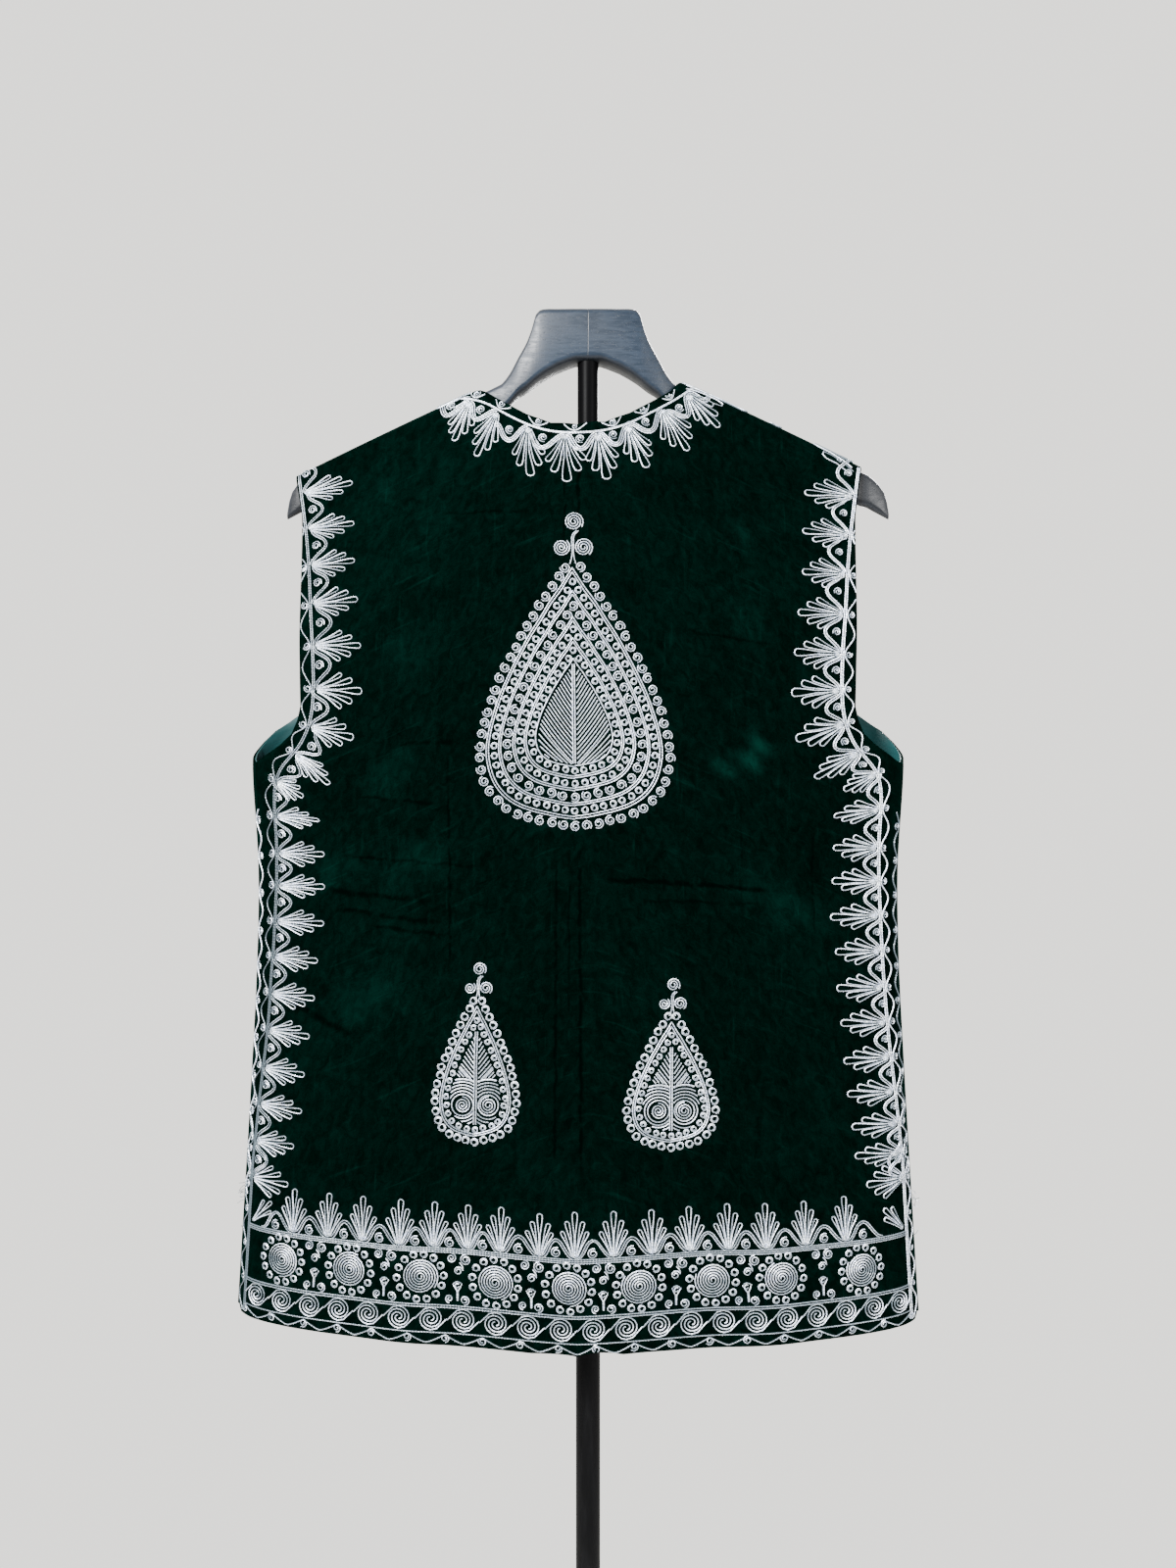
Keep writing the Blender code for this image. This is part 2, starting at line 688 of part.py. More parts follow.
def place_in(points, outline):
    """Which points lie inside the outline, and how far each lies from its edge."""
    start = np.array(outline)
    run = np.roll(start, -1, axis=0) - start
    p = points[:, None, :]
    above = start[:, 1] > p[..., 1]
    crosses = above != (start[:, 1] + run[:, 1] > p[..., 1])
    climb = np.where(run[:, 1] == 0, 1.0, run[:, 1])
    at = run[:, 0] * (p[..., 1] - start[:, 1]) / climb + start[:, 0]
    inside = np.sum(crosses & (p[..., 0] < at), axis=1) % 2 == 1
    t = np.clip(np.sum((p - start) * run, axis=-1) / np.sum(run**2, axis=1), 0, 1)
    return inside, np.linalg.norm(p - (start + t[..., None] * run), axis=-1).min(axis=1)


def filled(outline, patches):
    """Points and triangles that fill an outline, with edges along every patch that lies on it."""
    lattice = np.array([(u, w) for u in u_of_angle(columns()) for w in rows()])
    inside, clear = place_in(lattice, outline)
    points = list(outline)
    edges = []
    for patch in patches:
        clear = np.minimum(clear, place_in(lattice, patch)[1])
        first = len(points)
        points += patch
        edges += [(first + i, first + (i + 1) % len(patch)) for i in range(len(patch))]
    points += lattice[inside & (clear > POINT_CLEAR)].tolist()
    loop = list(range(len(outline)))
    flat, _, faces, *_ = delaunay_2d_cdt([Vector(p) for p in points], edges, [loop], 1, 1e-7)
    return flat, faces


def cloth_piece(name, outline, low, high, material, patches=()):
    """A piece of cloth: its outline filled with triangles and laid at two lifts, with a rim between."""
    edge = len(outline)
    flat, faces = filled(outline, patches)
    count = len(flat)
    walls = [tuple(face) for face in faces]
    walls += [tuple(i + count for i in reversed(face)) for face in faces]
    walls += [(i, (i + 1) % edge, (i + 1) % edge + count, i + count) for i in range(edge)]
    mesh = bpy.data.meshes.new(name)
    mesh.from_pydata(np.concatenate([cloth(flat, low), cloth(flat, high)]).tolist(), [], walls)
    shape = bmesh.new()
    shape.from_mesh(mesh)
    bmesh.ops.recalc_face_normals(shape, faces=shape.faces)
    shape.to_mesh(mesh)
    shape.free()
    mesh.set_sharp_from_angle(angle=SHARP)
    add_object(name, mesh, material)


def back_patches():
    patches = {"border_back_neck": neck_border(), "hem_band_back": hem_band(1, False)}
    for label, side in (("left", -1), ("right", 1)):
        patches[f"border_back_{label}_side"] = side_border(side, False)
    patches |= {name: medallion(*row) for name, row in MEDALLIONS.items() if row[0] == "back"}
    return patches


def front_patches(label, side):
    return {
        f"border_front_{label}_side": side_border(side, True),
        f"border_front_{label}_edge": front_border(side),
        f"hem_band_front_{label}": hem_band(side, True),
        f"medallion_front_{label}": medallion(*MEDALLIONS[f"medallion_front_{label}"]),
    }


def make_vest(materials):
    panels = {"back": (back_outline(), back_patches())}
    for label, side in (("left", -1), ("right", 1)):
        panels[f"{label}_front"] = (front_outline(side), front_patches(label, side))
    inside = -VELVET - GAP
    for label, (outline, patches) in panels.items():
        outline = over_the_roll(outline)
        on_it = list(patches.values())
        cloth_piece(f"{label}_panel", outline, -VELVET, 0.0, materials["velvet"], on_it)
        cloth_piece(
            f"{label}_lining", outline, inside - LINING, inside, materials["lining"], on_it
        )
        for name, patch in patches.items():
            cloth_piece(name, patch, GAP, GAP + EMBROIDERY, materials["silver_cord"])


# ---------------------------------------------------------------- hanger and stand


def turned(name, profile, material):
    """A round piece: its (radius, height) profile turned about the pole, running down on the outside."""
    mesh = bpy.data.meshes.new(name)
    edges = [(i, i + 1) for i in range(len(profile) - 1)]
    if profile[0][0] > 0:
        edges.append((len(profile) - 1, 0))
    mesh.from_pydata([(r, 0, z) for r, z in profile], edges, [])
    piece = add_object(name, mesh, material)
    spin = piece.modifiers.new("turn", "SCREW")
    spin.steps = spin.render_steps = ROUND_SIDES
    spin.use_merge_vertices = True
    spin.merge_threshold = 0.00001
    spin.use_smooth_shade = True
    return piece


def make_base(materials):
    floor_edge = BASE_RADIUS - BASE_EDGE
    neck = SOCKET_RADIUS - 2 * BASE_EDGE
    profile = (
        (0, SOCKET_HEIGHT),
        (neck, SOCKET_HEIGHT),
        (SOCKET_RADIUS, SOCKET_HEIGHT - 2 * BASE_EDGE),
        (SOCKET_RADIUS, BASE_HEIGHT),
        (floor_edge, BASE_HEIGHT),
        (BASE_RADIUS, BASE_HEIGHT - BASE_EDGE),
        (BASE_RADIUS, BASE_EDGE),
        (floor_edge, 0),
        (0, 0),
    )
    turned("base", profile, materials["satin_black_steel"])


def make_pole(materials):
    """The upper tube slides in the lower one; the collar on the lower tube's end grips it."""
    foot = SOCKET_HEIGHT + GAP
    top = ARCH_TOP - GAP
    lower = (
        (0, foot + PLUG),
        (LOWER_BORE, foot + PLUG),
        (LOWER_BORE, LOWER_TOP),
        (LOWER_RADIUS, LOWER_TOP),
        (LOWER_RADIUS, foot),
        (0, foot),
    )
    turned("lower_tube", lower, materials["satin_black_steel"])
    upper = (
        (0, top),
        (UPPER_RADIUS, top),
        (UPPER_RADIUS, UPPER_LOW),
        (UPPER_BORE, UPPER_LOW),
        (UPPER_BORE, top - PLUG),
        (0, top - PLUG),
    )
    turned("upper_tube", upper, materials["gloss_black_steel"])
    collar = (
        (LOWER_BORE, COLLAR_TOP),
        (COLLAR_RADIUS - COLLAR_EDGE, COLLAR_TOP),
        (COLLAR_RADIUS, COLLAR_TOP - COLLAR_EDGE),
        (COLLAR_RADIUS, COLLAR_LOW),
        (LOWER_RADIUS + GAP, COLLAR_LOW),
        (LOWER_RADIUS + GAP, LOWER_TOP + GAP),
        (LOWER_BORE, LOWER_TOP + GAP),
    )
    turned("height_collar", collar, materials["black_plastic"])


def hanger_section(x, z_top, z_low, thick):
    """Rounded section of the hanger at x: a flat bar with round top and lower edges."""
    radius = min(thick / 2, RIDGE_RADIUS - UNDER)
    middle = float(ridge_forward(x))
    ring = []
    for turn, centre in ((0, z_top - radius), (math.pi, z_low + radius)):
        for share in (0.0, 0.25, 0.5, 0.75, 1.0):
            angle = turn + math.pi * share
            flat = math.copysign(thick / 2 - radius, math.cos(angle)) if share != 0.5 else 0.0
            ring.append((x, middle + flat + radius * math.cos(angle), centre + radius * math.sin(angle)))
    return ring


def hanger_rows():
    """Half of the hanger, from the pole out to its tip."""
    arm = []
    for x in np.linspace(ARM_START, ARM_END, ARM_STEPS):
        top = float(ridge_height(x)) - UNDER
        arm.append((float(x), top, top - ARM_DEPTH, ARM_THICK))
    return [*HANGER_ROWS, *arm, *TIP_ROWS]


def make_hanger(materials):
    half = hanger_rows()
    other = [(-x, *rest) for x, *rest in reversed(half[1:])]
    shape = bmesh.new()
    rings = []
    for row in other + half:
        rings.append([shape.verts.new(point) for point in hanger_section(*row)])
    for near, far in zip(rings, rings[1:]):
        for i in range(len(near)):
            j = (i + 1) % len(near)
            shape.faces.new((near[i], near[j], far[j], far[i]))
    shape.faces.new(rings[0])
    shape.faces.new(rings[-1])
    bmesh.ops.recalc_face_normals(shape, faces=shape.faces)
    mesh = bpy.data.meshes.new("hanger")
    shape.to_mesh(mesh)
    shape.free()
    mesh.shade_smooth()
    add_object("hanger", mesh, materials["black_stained_wood"])


def main():
    clear_scene()
    bpy.context.scene.collection.children.link(bpy.data.collections.new(NAME))
    materials = make_materials()
    make_base(materials)
    make_pole(materials)
    make_hanger(materials)
    make_vest(materials)


main()
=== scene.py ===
"""Finish of the embroidered velvet waistcoat on its hanger stand: cloth, couched cord, hanger and pole.

Metres, +Z up, in the frame of the solids. The cloth is one surface round the body, drawn with u, the
length round it from the centre back, and w, the length down the cloth from the shoulder line. The
embroidery is worked flat, in u and height, as on the cut pieces, and then laid on the cloth.
"""

import math

import bmesh
import bpy
import numpy as np
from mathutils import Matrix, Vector
from mathutils.geometry import delaunay_2d_cdt


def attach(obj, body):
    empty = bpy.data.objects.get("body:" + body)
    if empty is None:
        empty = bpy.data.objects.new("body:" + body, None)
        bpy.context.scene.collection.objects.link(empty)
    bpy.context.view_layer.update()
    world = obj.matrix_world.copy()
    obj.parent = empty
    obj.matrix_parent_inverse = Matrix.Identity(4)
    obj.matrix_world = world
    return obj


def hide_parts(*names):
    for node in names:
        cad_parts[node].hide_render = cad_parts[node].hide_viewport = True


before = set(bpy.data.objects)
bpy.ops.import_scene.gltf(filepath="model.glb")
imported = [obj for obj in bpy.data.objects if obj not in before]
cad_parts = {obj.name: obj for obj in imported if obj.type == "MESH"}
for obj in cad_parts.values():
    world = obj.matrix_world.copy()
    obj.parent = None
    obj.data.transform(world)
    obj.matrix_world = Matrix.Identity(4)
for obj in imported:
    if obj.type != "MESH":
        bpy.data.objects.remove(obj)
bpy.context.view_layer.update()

MM = 0.001
GAP = 0.3 * MM

# Stand
BASE_RADIUS = 0.150
BASE_HEIGHT = 0.007
BASE_EDGE = 0.0015
SOCKET_RADIUS = 0.019
SOCKET_HEIGHT = 0.028
LOWER_RADIUS = 0.0092
LOWER_BORE = 0.0083
LOWER_TOP = 1.000
PLUG = 0.004
COLLAR_RADIUS = 0.0140
COLLAR_EDGE = 0.002
COLLAR_LOW = 0.962
COLLAR_TOP = 1.006
UPPER_RADIUS = 0.0080
UPPER_BORE = 0.0070
UPPER_LOW = 0.700

# Hanger head, half of it. Between HANGER_ROWS and TIP_ROWS the arm runs straight under the shoulder line
HANGER_TOP = 1.550
ARCH_TOP = 1.511
ARM_DEPTH = 0.0262
ARM_THICK = 0.0092
BLOCK_THICK = 0.0240
HANGER_ROWS = (
    # x, z_top, z_low, thickness
    (0.0000, HANGER_TOP, ARCH_TOP, BLOCK_THICK),
    (0.0095, HANGER_TOP, ARCH_TOP, BLOCK_THICK),
    (0.0140, HANGER_TOP, 1.5096, BLOCK_THICK),
    (0.0240, HANGER_TOP, 1.5056, 0.0236),
    (0.0330, HANGER_TOP, 1.5004, 0.0228),
    (0.0367, 1.5492, 1.4980, 0.0222),
    (0.0398, 1.5455, 1.4957, 0.0216),
    (0.0425, 1.5360, 1.4935, 0.0210),
    (0.0462, 1.5262, 1.4905, 0.0198),
    (0.0530, 1.5145, 1.4860, 0.0172),
    (0.0590, 1.5040, 1.4798, 0.0138),
    (0.0655, 1.4962, 1.4735, 0.0104),
)
ARM_START = 0.0705
ARM_END = 0.2116
TIP_ROWS = (
    (0.2165, 1.4302, 1.4048, 0.0104),
    (0.2215, 1.4267, 1.4023, 0.0098),
    (0.2260, 1.4226, 1.4001, 0.0088),
    (0.2297, 1.4178, 1.3983, 0.0074),
    (0.2322, 1.4108, 1.3971, 0.0058),
    (0.2340, 1.4020, 1.3962, 0.0040),
)
TIP_FORWARD = 0.015
ARM_STEPS = 8

# Cloth: shoulder line over the hanger, and how it falls from there
VEST_SHIFT = -0.0075
RIDGE_TOP = 1.5208
RIDGE_SLOPE = 0.4417
RIDGE_ROUND = 0.020
RIDGE_RADIUS = 0.0090
FALL = 0.150
FORWARD_FROM = 0.032
FORWARD_FALL = 0.200
FOLD_EDGE = 0.42
SEAM_ANGLE = math.radians(80)

# Round the body at each height: half of the width, depth of the back and of the fronts from the pole
SECTION_COLUMNS = ("z", "half_width", "back", "front")
SECTIONS = (
    (0.760, 0.2606, 0.0755, 0.0440),
    (0.890, 0.2528, 0.0730, 0.0480),
    (0.980, 0.2476, 0.0700, 0.0505),
    (1.062, 0.2437, 0.0665, 0.0510),
    (1.123, 0.2430, 0.0635, 0.0500),
    (1.201, 0.2476, 0.0605, 0.0480),
    (1.350, 0.2476, 0.0580, 0.0450),
    (1.520, 0.2476, 0.0580, 0.0430),
)
NOMINAL_WIDTH = 0.2476
NOMINAL_BACK = 0.062
NOMINAL_FRONT = 0.048
ARC_SAMPLES = 1801

# Largest folds and pressed creases: which side, ends (x, z) of the line, half width, height
FOLDS = (
    ("back", -0.012, 1.080, -0.010, 0.920, 0.006, 0.0010),
    ("back", -0.083, 1.245, -0.088, 1.100, 0.008, 0.0012),
    ("back", -0.190, 1.108, -0.070, 1.092, 0.012, -0.0016),
    ("back", -0.200, 1.040, -0.085, 1.000, 0.014, 0.0018),
    ("back", -0.165, 1.318, -0.060, 1.306, 0.012, -0.0014),
    ("back", 0.020, 1.118, 0.170, 1.110, 0.012, -0.0016),
    ("back", 0.130, 1.330, 0.175, 1.180, 0.018, 0.0020),
    ("back", -0.130, 0.960, -0.120, 0.800, 0.030, 0.0030),
    ("back", 0.125, 0.980, 0.135, 0.800, 0.030, 0.0030),
    ("front", -0.120, 1.330, -0.085, 1.080, 0.022, 0.0026),
    ("front", 0.125, 1.320, 0.090, 1.060, 0.022, 0.0026),
    ("front", -0.180, 1.120, -0.060, 1.100, 0.013, -0.0016),
    ("front", 0.185, 1.050, 0.060, 1.075, 0.014, -0.0016),
    ("front", -0.110, 0.980, -0.100, 0.800, 0.028, 0.0026),
    ("front", 0.105, 0.960, 0.112, 0.800, 0.028, 0.0026),
)

# Cut of the panels: (x, z) of each edge, from the middle of the waistcoat
NECK_HALF = 0.081
SHOULDER_HALF = 0.2195
BACK_NECK = ((0.0, 1.4565), (0.020, 1.4590), (0.0385, 1.4677), (0.0555, 1.4785), (0.0700, 1.4875))
BACK_ARMHOLE = (
    (0.2120, 1.395),
    (0.2085, 1.340),
    (0.2053, 1.280),
    (0.2038, 1.247),
    (0.2060, 1.2366),
    (0.2104, 1.2270),
    (0.2196, 1.2190),
    (0.2300, 1.2125),
    (0.2379, 1.2075),
)
FRONT_ARMHOLE = (
    (0.2110, 1.395),
    (0.2030, 1.340),
    (0.2000, 1.290),
    (0.2060, 1.262),
    (0.2155, 1.2477),
    (0.2280, 1.2380),
    (0.2370, 1.2316),
    (0.2440, 1.2230),
)
ARMHOLE_LOW = 1.2060
ARMHOLE_SIDE = 1.2130
FRONT_EDGE = (
    (0.0760, 1.470),
    (0.0690, 1.430),
    (0.0580, 1.385),
    (0.0430, 1.338),
    (0.0260, 1.298),
    (0.0125, 1.272),
    (0.0065, 1.252),
    (0.0060, 1.220),
    (0.0060, 1.100),
    (0.0070, 0.950),
    (0.0090, 0.840),
)
HEM_BACK = 0.7885
HEM_SIDE = 0.7945
HEM_FRONT = 0.7925
HEM_CORNER = 0.012
CORNER_RISE = HEM_CORNER / 3
HEM_SWEEP = 0.32
HEM_TILT = 0.003

# Cloth thickness, and how far the hanger lies under the cloth's outer face
VELVET = 1.5 * MM
LINING = 1.0 * MM
UNDER = (VELVET + LINING + 3 * GAP) * math.hypot(1, RIDGE_SLOPE)

# Points of the cloth: their spacing round the body and down it, rows over the shoulder's roll, how far
# they keep from an outline, and the small step that finds the cloth's facing
COLUMN_STEP = math.radians(7.3)
ROW_STEP = 0.049
RIDGE_ROWS = (0.0037, 0.0074, 0.0110, 0.0143)
POINT_CLEAR = 0.0020
ANGLE_CLEAR = 0.03
NORMAL_STEP = 0.0004

# Embroidered borders: where they start below the shoulder, the double line they stand on, tips and
# valleys of the palmettes
BORDER_START = 0.0168
SIDE_LINE_SHARE = 0.955
BACK_SIDE_LINE = (
    (0.2137, 1.4200),
    (0.2110, 1.4030),
    (0.2065, 1.3790),
    (0.2012, 1.3470),
    (0.1975, 1.3180),
    (0.1943, 1.2900),
    (0.1928, 1.2620),
    (0.1936, 1.2400),
    (0.1990, 1.2240),
    (0.2060, 1.2135),
    (0.2150, 1.2060),
    (0.2212, 1.1970),
    (0.2236, 1.1880),
    (0.2236, 1.1700),
)
FRONT_SIDE_LINE = (
    (0.2070, 1.420),
    (0.1960, 1.345),
    (0.1910, 1.290),
    (0.1960, 1.250),
    (0.2080, 1.226),
    (0.2230, 1.208),
    (0.2330, 1.188),
)
SIDE_LINE_TOP = 1.150
SIDE_LINE_LOW = 0.912
# Palmettes down each side of the back, in mm from the top of its line
SIDE_PALMETTES = {
    -1: (
        *(10, 39, 70, 101, 132.5, 165, 193, 216, 243, 270),
        *(297, 321, 347, 373, 400, 427, 455, 482, 509),
    ),
    1: (
        *(12, 45, 77, 109, 139, 166, 191, 215, 237, 265),
        *(293, 318, 343, 369, 396, 422, 447.5, 473, 497, 519),
    ),
}
BACK_SIDE_SHARES = (
    (0.912, 0.955),
    (0.950, 0.947),
    (1.000, 0.930),
    (1.050, 0.922),
    (1.120, 0.914),
    (1.150, 0.908),
)
PALMETTE_PITCH = 0.0262
NECK_PITCH = 0.0235
TURN_LENGTH = 0.045
EDGE_MARGIN = 0.0012
HEM_TIP_RISE = 0.104
FRONT_PALMETTES = 9
SEAM_CLEAR = 0.0020
EDGE_LINE_IN = 0.0095

# Folds and creases too fine for the solids: which side, ends (x, z) of the line, half width, height
FINE_FOLDS = (
    ("back", -0.150, 1.385, -0.060, 1.392, 0.006, -0.0007),
    ("back", -0.175, 1.300, -0.095, 1.296, 0.006, -0.0008),
    ("back", -0.100, 1.275, -0.062, 1.283, 0.005, -0.0006),
    ("back", 0.085, 1.290, 0.165, 1.282, 0.006, -0.0007),
    ("back", 0.060, 1.120, 0.115, 1.116, 0.004, -0.0009),
    ("back", 0.020, 1.135, 0.075, 1.122, 0.005, 0.0006),
    ("back", -0.130, 1.135, -0.060, 1.128, 0.005, -0.0007),
    ("back", -0.165, 1.075, -0.100, 1.060, 0.006, -0.0009),
    ("back", 0.090, 1.060, 0.160, 1.052, 0.005, -0.0007),
    ("back", 0.080, 0.995, 0.150, 0.985, 0.006, -0.0008),
    ("back", 0.095, 0.960, 0.145, 0.955, 0.004, 0.0006),
    ("back", -0.165, 0.985, -0.110, 0.970, 0.006, -0.0008),
    ("back", 0.015, 1.080, 0.012, 0.930, 0.003, -0.0006),
    ("back", -0.003, 1.060, -0.004, 0.905, 0.003, -0.0006),
    ("front", -0.150, 1.020, -0.045, 1.012, 0.006, -0.0008),
    ("front", 0.050, 1.000, 0.160, 0.992, 0.006, -0.0008),
    ("front", 0.060, 1.180, 0.150, 1.196, 0.007, -0.0009),
    ("front", -0.145, 1.200, -0.070, 1.186, 0.007, -0.0009),
)

# Cord and the shapes worked with it, in mm
CORD_WIDE = 1.42
CORD_HIGH = 0.62
CORD_UNDER = 0.30
CORD_LIFT = 0.32
CORD_PITCH = 2.02
# Metres of cord in one turn of its twist
CORD_TWIST = 0.0021
DISC_PITCH = 1.95
VOLUTE_PITCH = 2.15
COIL_EYE = 0.65
EYELET_TURNS = 1.7
DOUBLE = 0.78
PALMETTE_FINGERS = (
    # tip, bend and start from the line's middle, half the loop's width
    ((0.0, 34.5), (0.0, 18.0), (0.0, 2.4), 2.1),
    ((6.8, 27.8), (2.4, 13.0), (0.9, 3.0), 1.75),
    ((10.8, 20.6), (4.9, 9.8), (2.0, 3.6), 1.55),
)
ARCH = (
    # share of the pitch from the last palmette, height
    (0.02, 1.6),
    (0.10, 1.9),
    (0.19, 4.2),
    (0.27, 7.8),
    (0.36, 11.0),
    (0.47, 12.4),
    (0.58, 11.2),
    (0.68, 8.2),
    (0.78, 5.0),
    (0.88, 2.6),
    (0.98, 1.6),
)
ARCH_CORDS = {2: (-0.78, 0.78), 3: (-1.45, 0.0, 1.45)}
ARCH_RISE = {2: 1.17, 3: 1.12}
ARCH_COIL = {2: 4.2, 3: 4.5}
PALMETTE_TALL = {2: 1.13, 3: 1.17}
PALMETTE_SPREAD = {2: 0.84, 3: 0.80}
PALMETTE_ROOM = {2: 28.5, 3: 23.5}
STRIP_SIZES = {2: (3.6, 7.0), 3: (3.7, 8.0)}
LINE_CORDS = {2: (-0.78, 0.78), 3: (-0.3, 0.3)}
HEM_CORDS = (-1.4, 0.0, 1.4)
COIL_AT = (0.47, 5.3, 3.9)
STRIP = 6.4
STRIP_COIL = 3.1
LINE_STEP = 2.6
WAVE_STEP = 1.5
SIDE_LEAD = 13.0
PALMETTE_UP = 2.5
# How tall each palmette of a side of the back is, and how far it leans down the line, in radians
SIDE_TALLS = {
    -1: (
        *(1.26, 1.20, 1.14, 1.12, 1.13, 1.10, 1.06, 1.18, 0.78, 1.20),
        *(1.25, 1.25, 1.25, 1.22, 1.18, 1.14, 1.12, 1.12, 1.06),
    ),
    1: (
        *(1.20, 1.18, 1.10, 1.14, 1.12, 1.15, 1.18, 1.20, 0.86, 1.22),
        *(1.20, 1.20, 1.20, 1.20, 1.20, 1.20, 1.20, 1.24, 1.26, 1.26),
    ),
}
SIDE_LEANS = {
    -1: (
        *(-0.03, -0.12, -0.10, -0.10, -0.10, 0.02, 0.12, -0.28, -0.12, 0.18),
        *(0.04, 0.04, 0.04, 0.02, 0.02, 0.02, 0.04, 0.06, 0.05),
    ),
    1: (
        *(-0.18, -0.17, -0.18, -0.13, -0.08, 0.03, 0.06, -0.06, 0.00, 0.20),
        *(0.07, 0.07, 0.07, 0.07, 0.10, 0.12, 0.12, 0.14, 0.14, 0.14),
    ),
}
# The second strip down each side seam: height of its first coil, limit of its last, pitch
SEAM_STRIP = {-1: (893.0, 1168.0, 27.0), 1: (899.0, 1168.0, 26.0)}
SEAM_COIL_IN = 1.6
SEAM_WAVE = 0.86
SMOOTHING = (-0.009, -0.0045, 0.0, 0.0045, 0.009)
HEM_UPPER = 66.6
HEM_LOWER = 27.6
HEM_SINGLE = 9.2
HEM_ROSETTE = 47.2
HEM_COIL = 3.5
HEM_TALL = 0.97
HEM_SPREAD = 0.84
ROSETTE_DISC = 12.8
ROSETTE_PETALS = 14
PETAL = 3.15
SCROLL_PITCH = 22.0
SCROLL_RADIUS = 8.6
DROP_STEP = 3.0
LARGE_FROM = 0.1
LEAF_RISES = (math.radians(24), math.radians(46), math.radians(62))
LARGE_LEAF = (53.0, 74.0, 44.0)
LARGE_LEAF_IN = 41.0
LARGE_ROWS = (
    # inset from the edge's row, pitch, radius, eyelets or coils, share of a pitch kept from the point
    (0.0, 8.6, 4.25, False, 1.2),
    (10.5, 7.0, 3.05, True, 0.0),
    (19.6, 8.7, 4.15, False, 0.0),
    (28.7, 6.9, 3.0, True, 0.0),
    (36.8, 6.8, 2.95, True, 0.0),
)
LARGE_LINES = (5.05, 6.75, 13.85, 15.3, 23.95, 25.4, 32.05, 33.5, 40.0)
LARGE_RIBS = 2.25
LARGE_FINIAL = 7.4
FINIAL_TALL = 4.2
SMALL_LEAF_DOWN = 25.0
SMALL_LEAF_IN = 10.9
SMALL_ROWS = (
    (0.0, 6.5, 3.35, True, 0.95),
    (8.1, 5.8, 2.65, True, 0.0),
)
SMALL_LINES = (3.95, 5.4)
SMALL_RIBS = 2.2
SMALL_FINIAL = 5.3
# The two spirals of a small leaf: middle x, height over the drop's foot, radius, arcs round them
VOLUTE = (9.2, 25.4, 5.9, 6)
VOLUTE_ROOM = 5.7
RIBS_OVER_VOLUTE = 4.7
FEATHER_RISES = (0.0, math.radians(24), math.radians(70))
# Half of a drop: width and height as shares, from its point down
DROP_HALF = (
    (0.000, 0.000),
    (0.065, 0.036),
    (0.135, 0.075),
    (0.245, 0.127),
    (0.370, 0.198),
    (0.505, 0.272),
    (0.625, 0.350),
    (0.740, 0.430),
    (0.845, 0.513),
    (0.920, 0.590),
    (0.975, 0.662),
    (1.000, 0.735),
    (0.975, 0.800),
    (0.915, 0.858),
    (0.800, 0.910),
    (0.650, 0.946),
    (0.480, 0.968),
    (0.300, 0.983),
    (0.130, 0.995),
    (0.000, 1.000),
)

FOOT_PALMETTE_FROM = 112.0
CORNER_FAN = 0.74
# Along the back's hem, in mm from its middle: palmettes, rosettes
BACK_BASES = (
    *(-203.0, -175.5, -149.5, -122.5, -98.7, -75.2, -52.8, -26.0),
    *(-1.7, 24.7, 51.2, 77.2, 103.7, 129.8, 158.8, 189.3),
)
BACK_ROSETTES = (-211.0, -158.3, -106.5, -56.0, -6.0, 41.5, 92.4, 140.5, 201.0)

# The back neck's border, in mm from the back's middle: its palmettes and its strip's coils
NECK_LINE_IN = 7.8
NECK_PALMETTES = (-81.5, -60.0, -37.0, -9.2, 14.0, 36.0, 62.5, 81.5)
NECK_LEANS = (-0.17, -0.05, -0.32, -0.10, 0.0, 0.0, 0.06, -0.20)
NECK_TALLS = (1.05, 1.22, 1.24, 1.17, 1.17, 1.12, 1.17, 1.10)
NECK_COILS = (-79.0, -60.0, -31.3, -2.8, 26.9, 51.0, 71.0)

# Medallions as worked: side, middle, top, foot, width, how far the top leans
DROPS = {
    "medallion_back_large": ("back", -0.0015, 1.385, 1.1555, 0.1445, -0.0021),
    "medallion_back_left": ("back", -0.0725, 1.0640, 0.9345, 0.0645, 0.0020),
    "medallion_back_right": ("back", 0.0660, 1.0530, 0.9305, 0.0690, 0.0010),
    "medallion_front_left": ("front", -0.108, 1.080, 0.950, 0.064, 0.0),
    "medallion_front_right": ("front", 0.108, 1.080, 0.950, 0.064, 0.0),
}

# Cords over the shoulder seam: distance out from the neck's edge and down from the seam, in mm
RIDGE_NECK = (
    (
        *((1, 3.6), (8, 3.0), (16, 2.2), (26, 1.7), (38, 1.7), (47, 2.1)),
        *((48, 3.0), (44, 3.5), (32, 3.2), (20, 3.7), (9, 4.9)),
    ),
    ((1, 6.0), (8, 5.0), (16, 4.4), (24, 4.6), (29, 5.5), (28, 6.9), (22, 7.4), (12, 7.0), (4, 7.6)),
    ((0, 2.4), (8, 1.8), (16, 1.4), (22, 1.4)),
    ((65, 1.9), (69, 1.6), (74, 1.9), (74.5, 2.8), (71, 3.2), (67, 2.9)),
)
RIDGE_ARMHOLE = (
    (
        *((128, 3.6), (121, 2.4), (112, 1.8), (102, 1.7), (100, 2.7)),
        *((103, 3.4), (112, 3.6), (122, 4.8), (129, 6.4)),
    ),
    ((130, 8.0), (122, 6.2), (113, 5.2), (107, 5.4), (106, 6.8), (109, 7.8), (117, 7.8), (126, 9.4)),
    ((117, 4.9), (119.5, 4.2), (121, 5.4), (119.6, 6.8), (117.4, 6.2), (117.6, 5.2)),
    ((131, 2.2), (127, 1.4), (121, 1.3)),
)
RIDGE_DOWN = (0.7, 1.75)
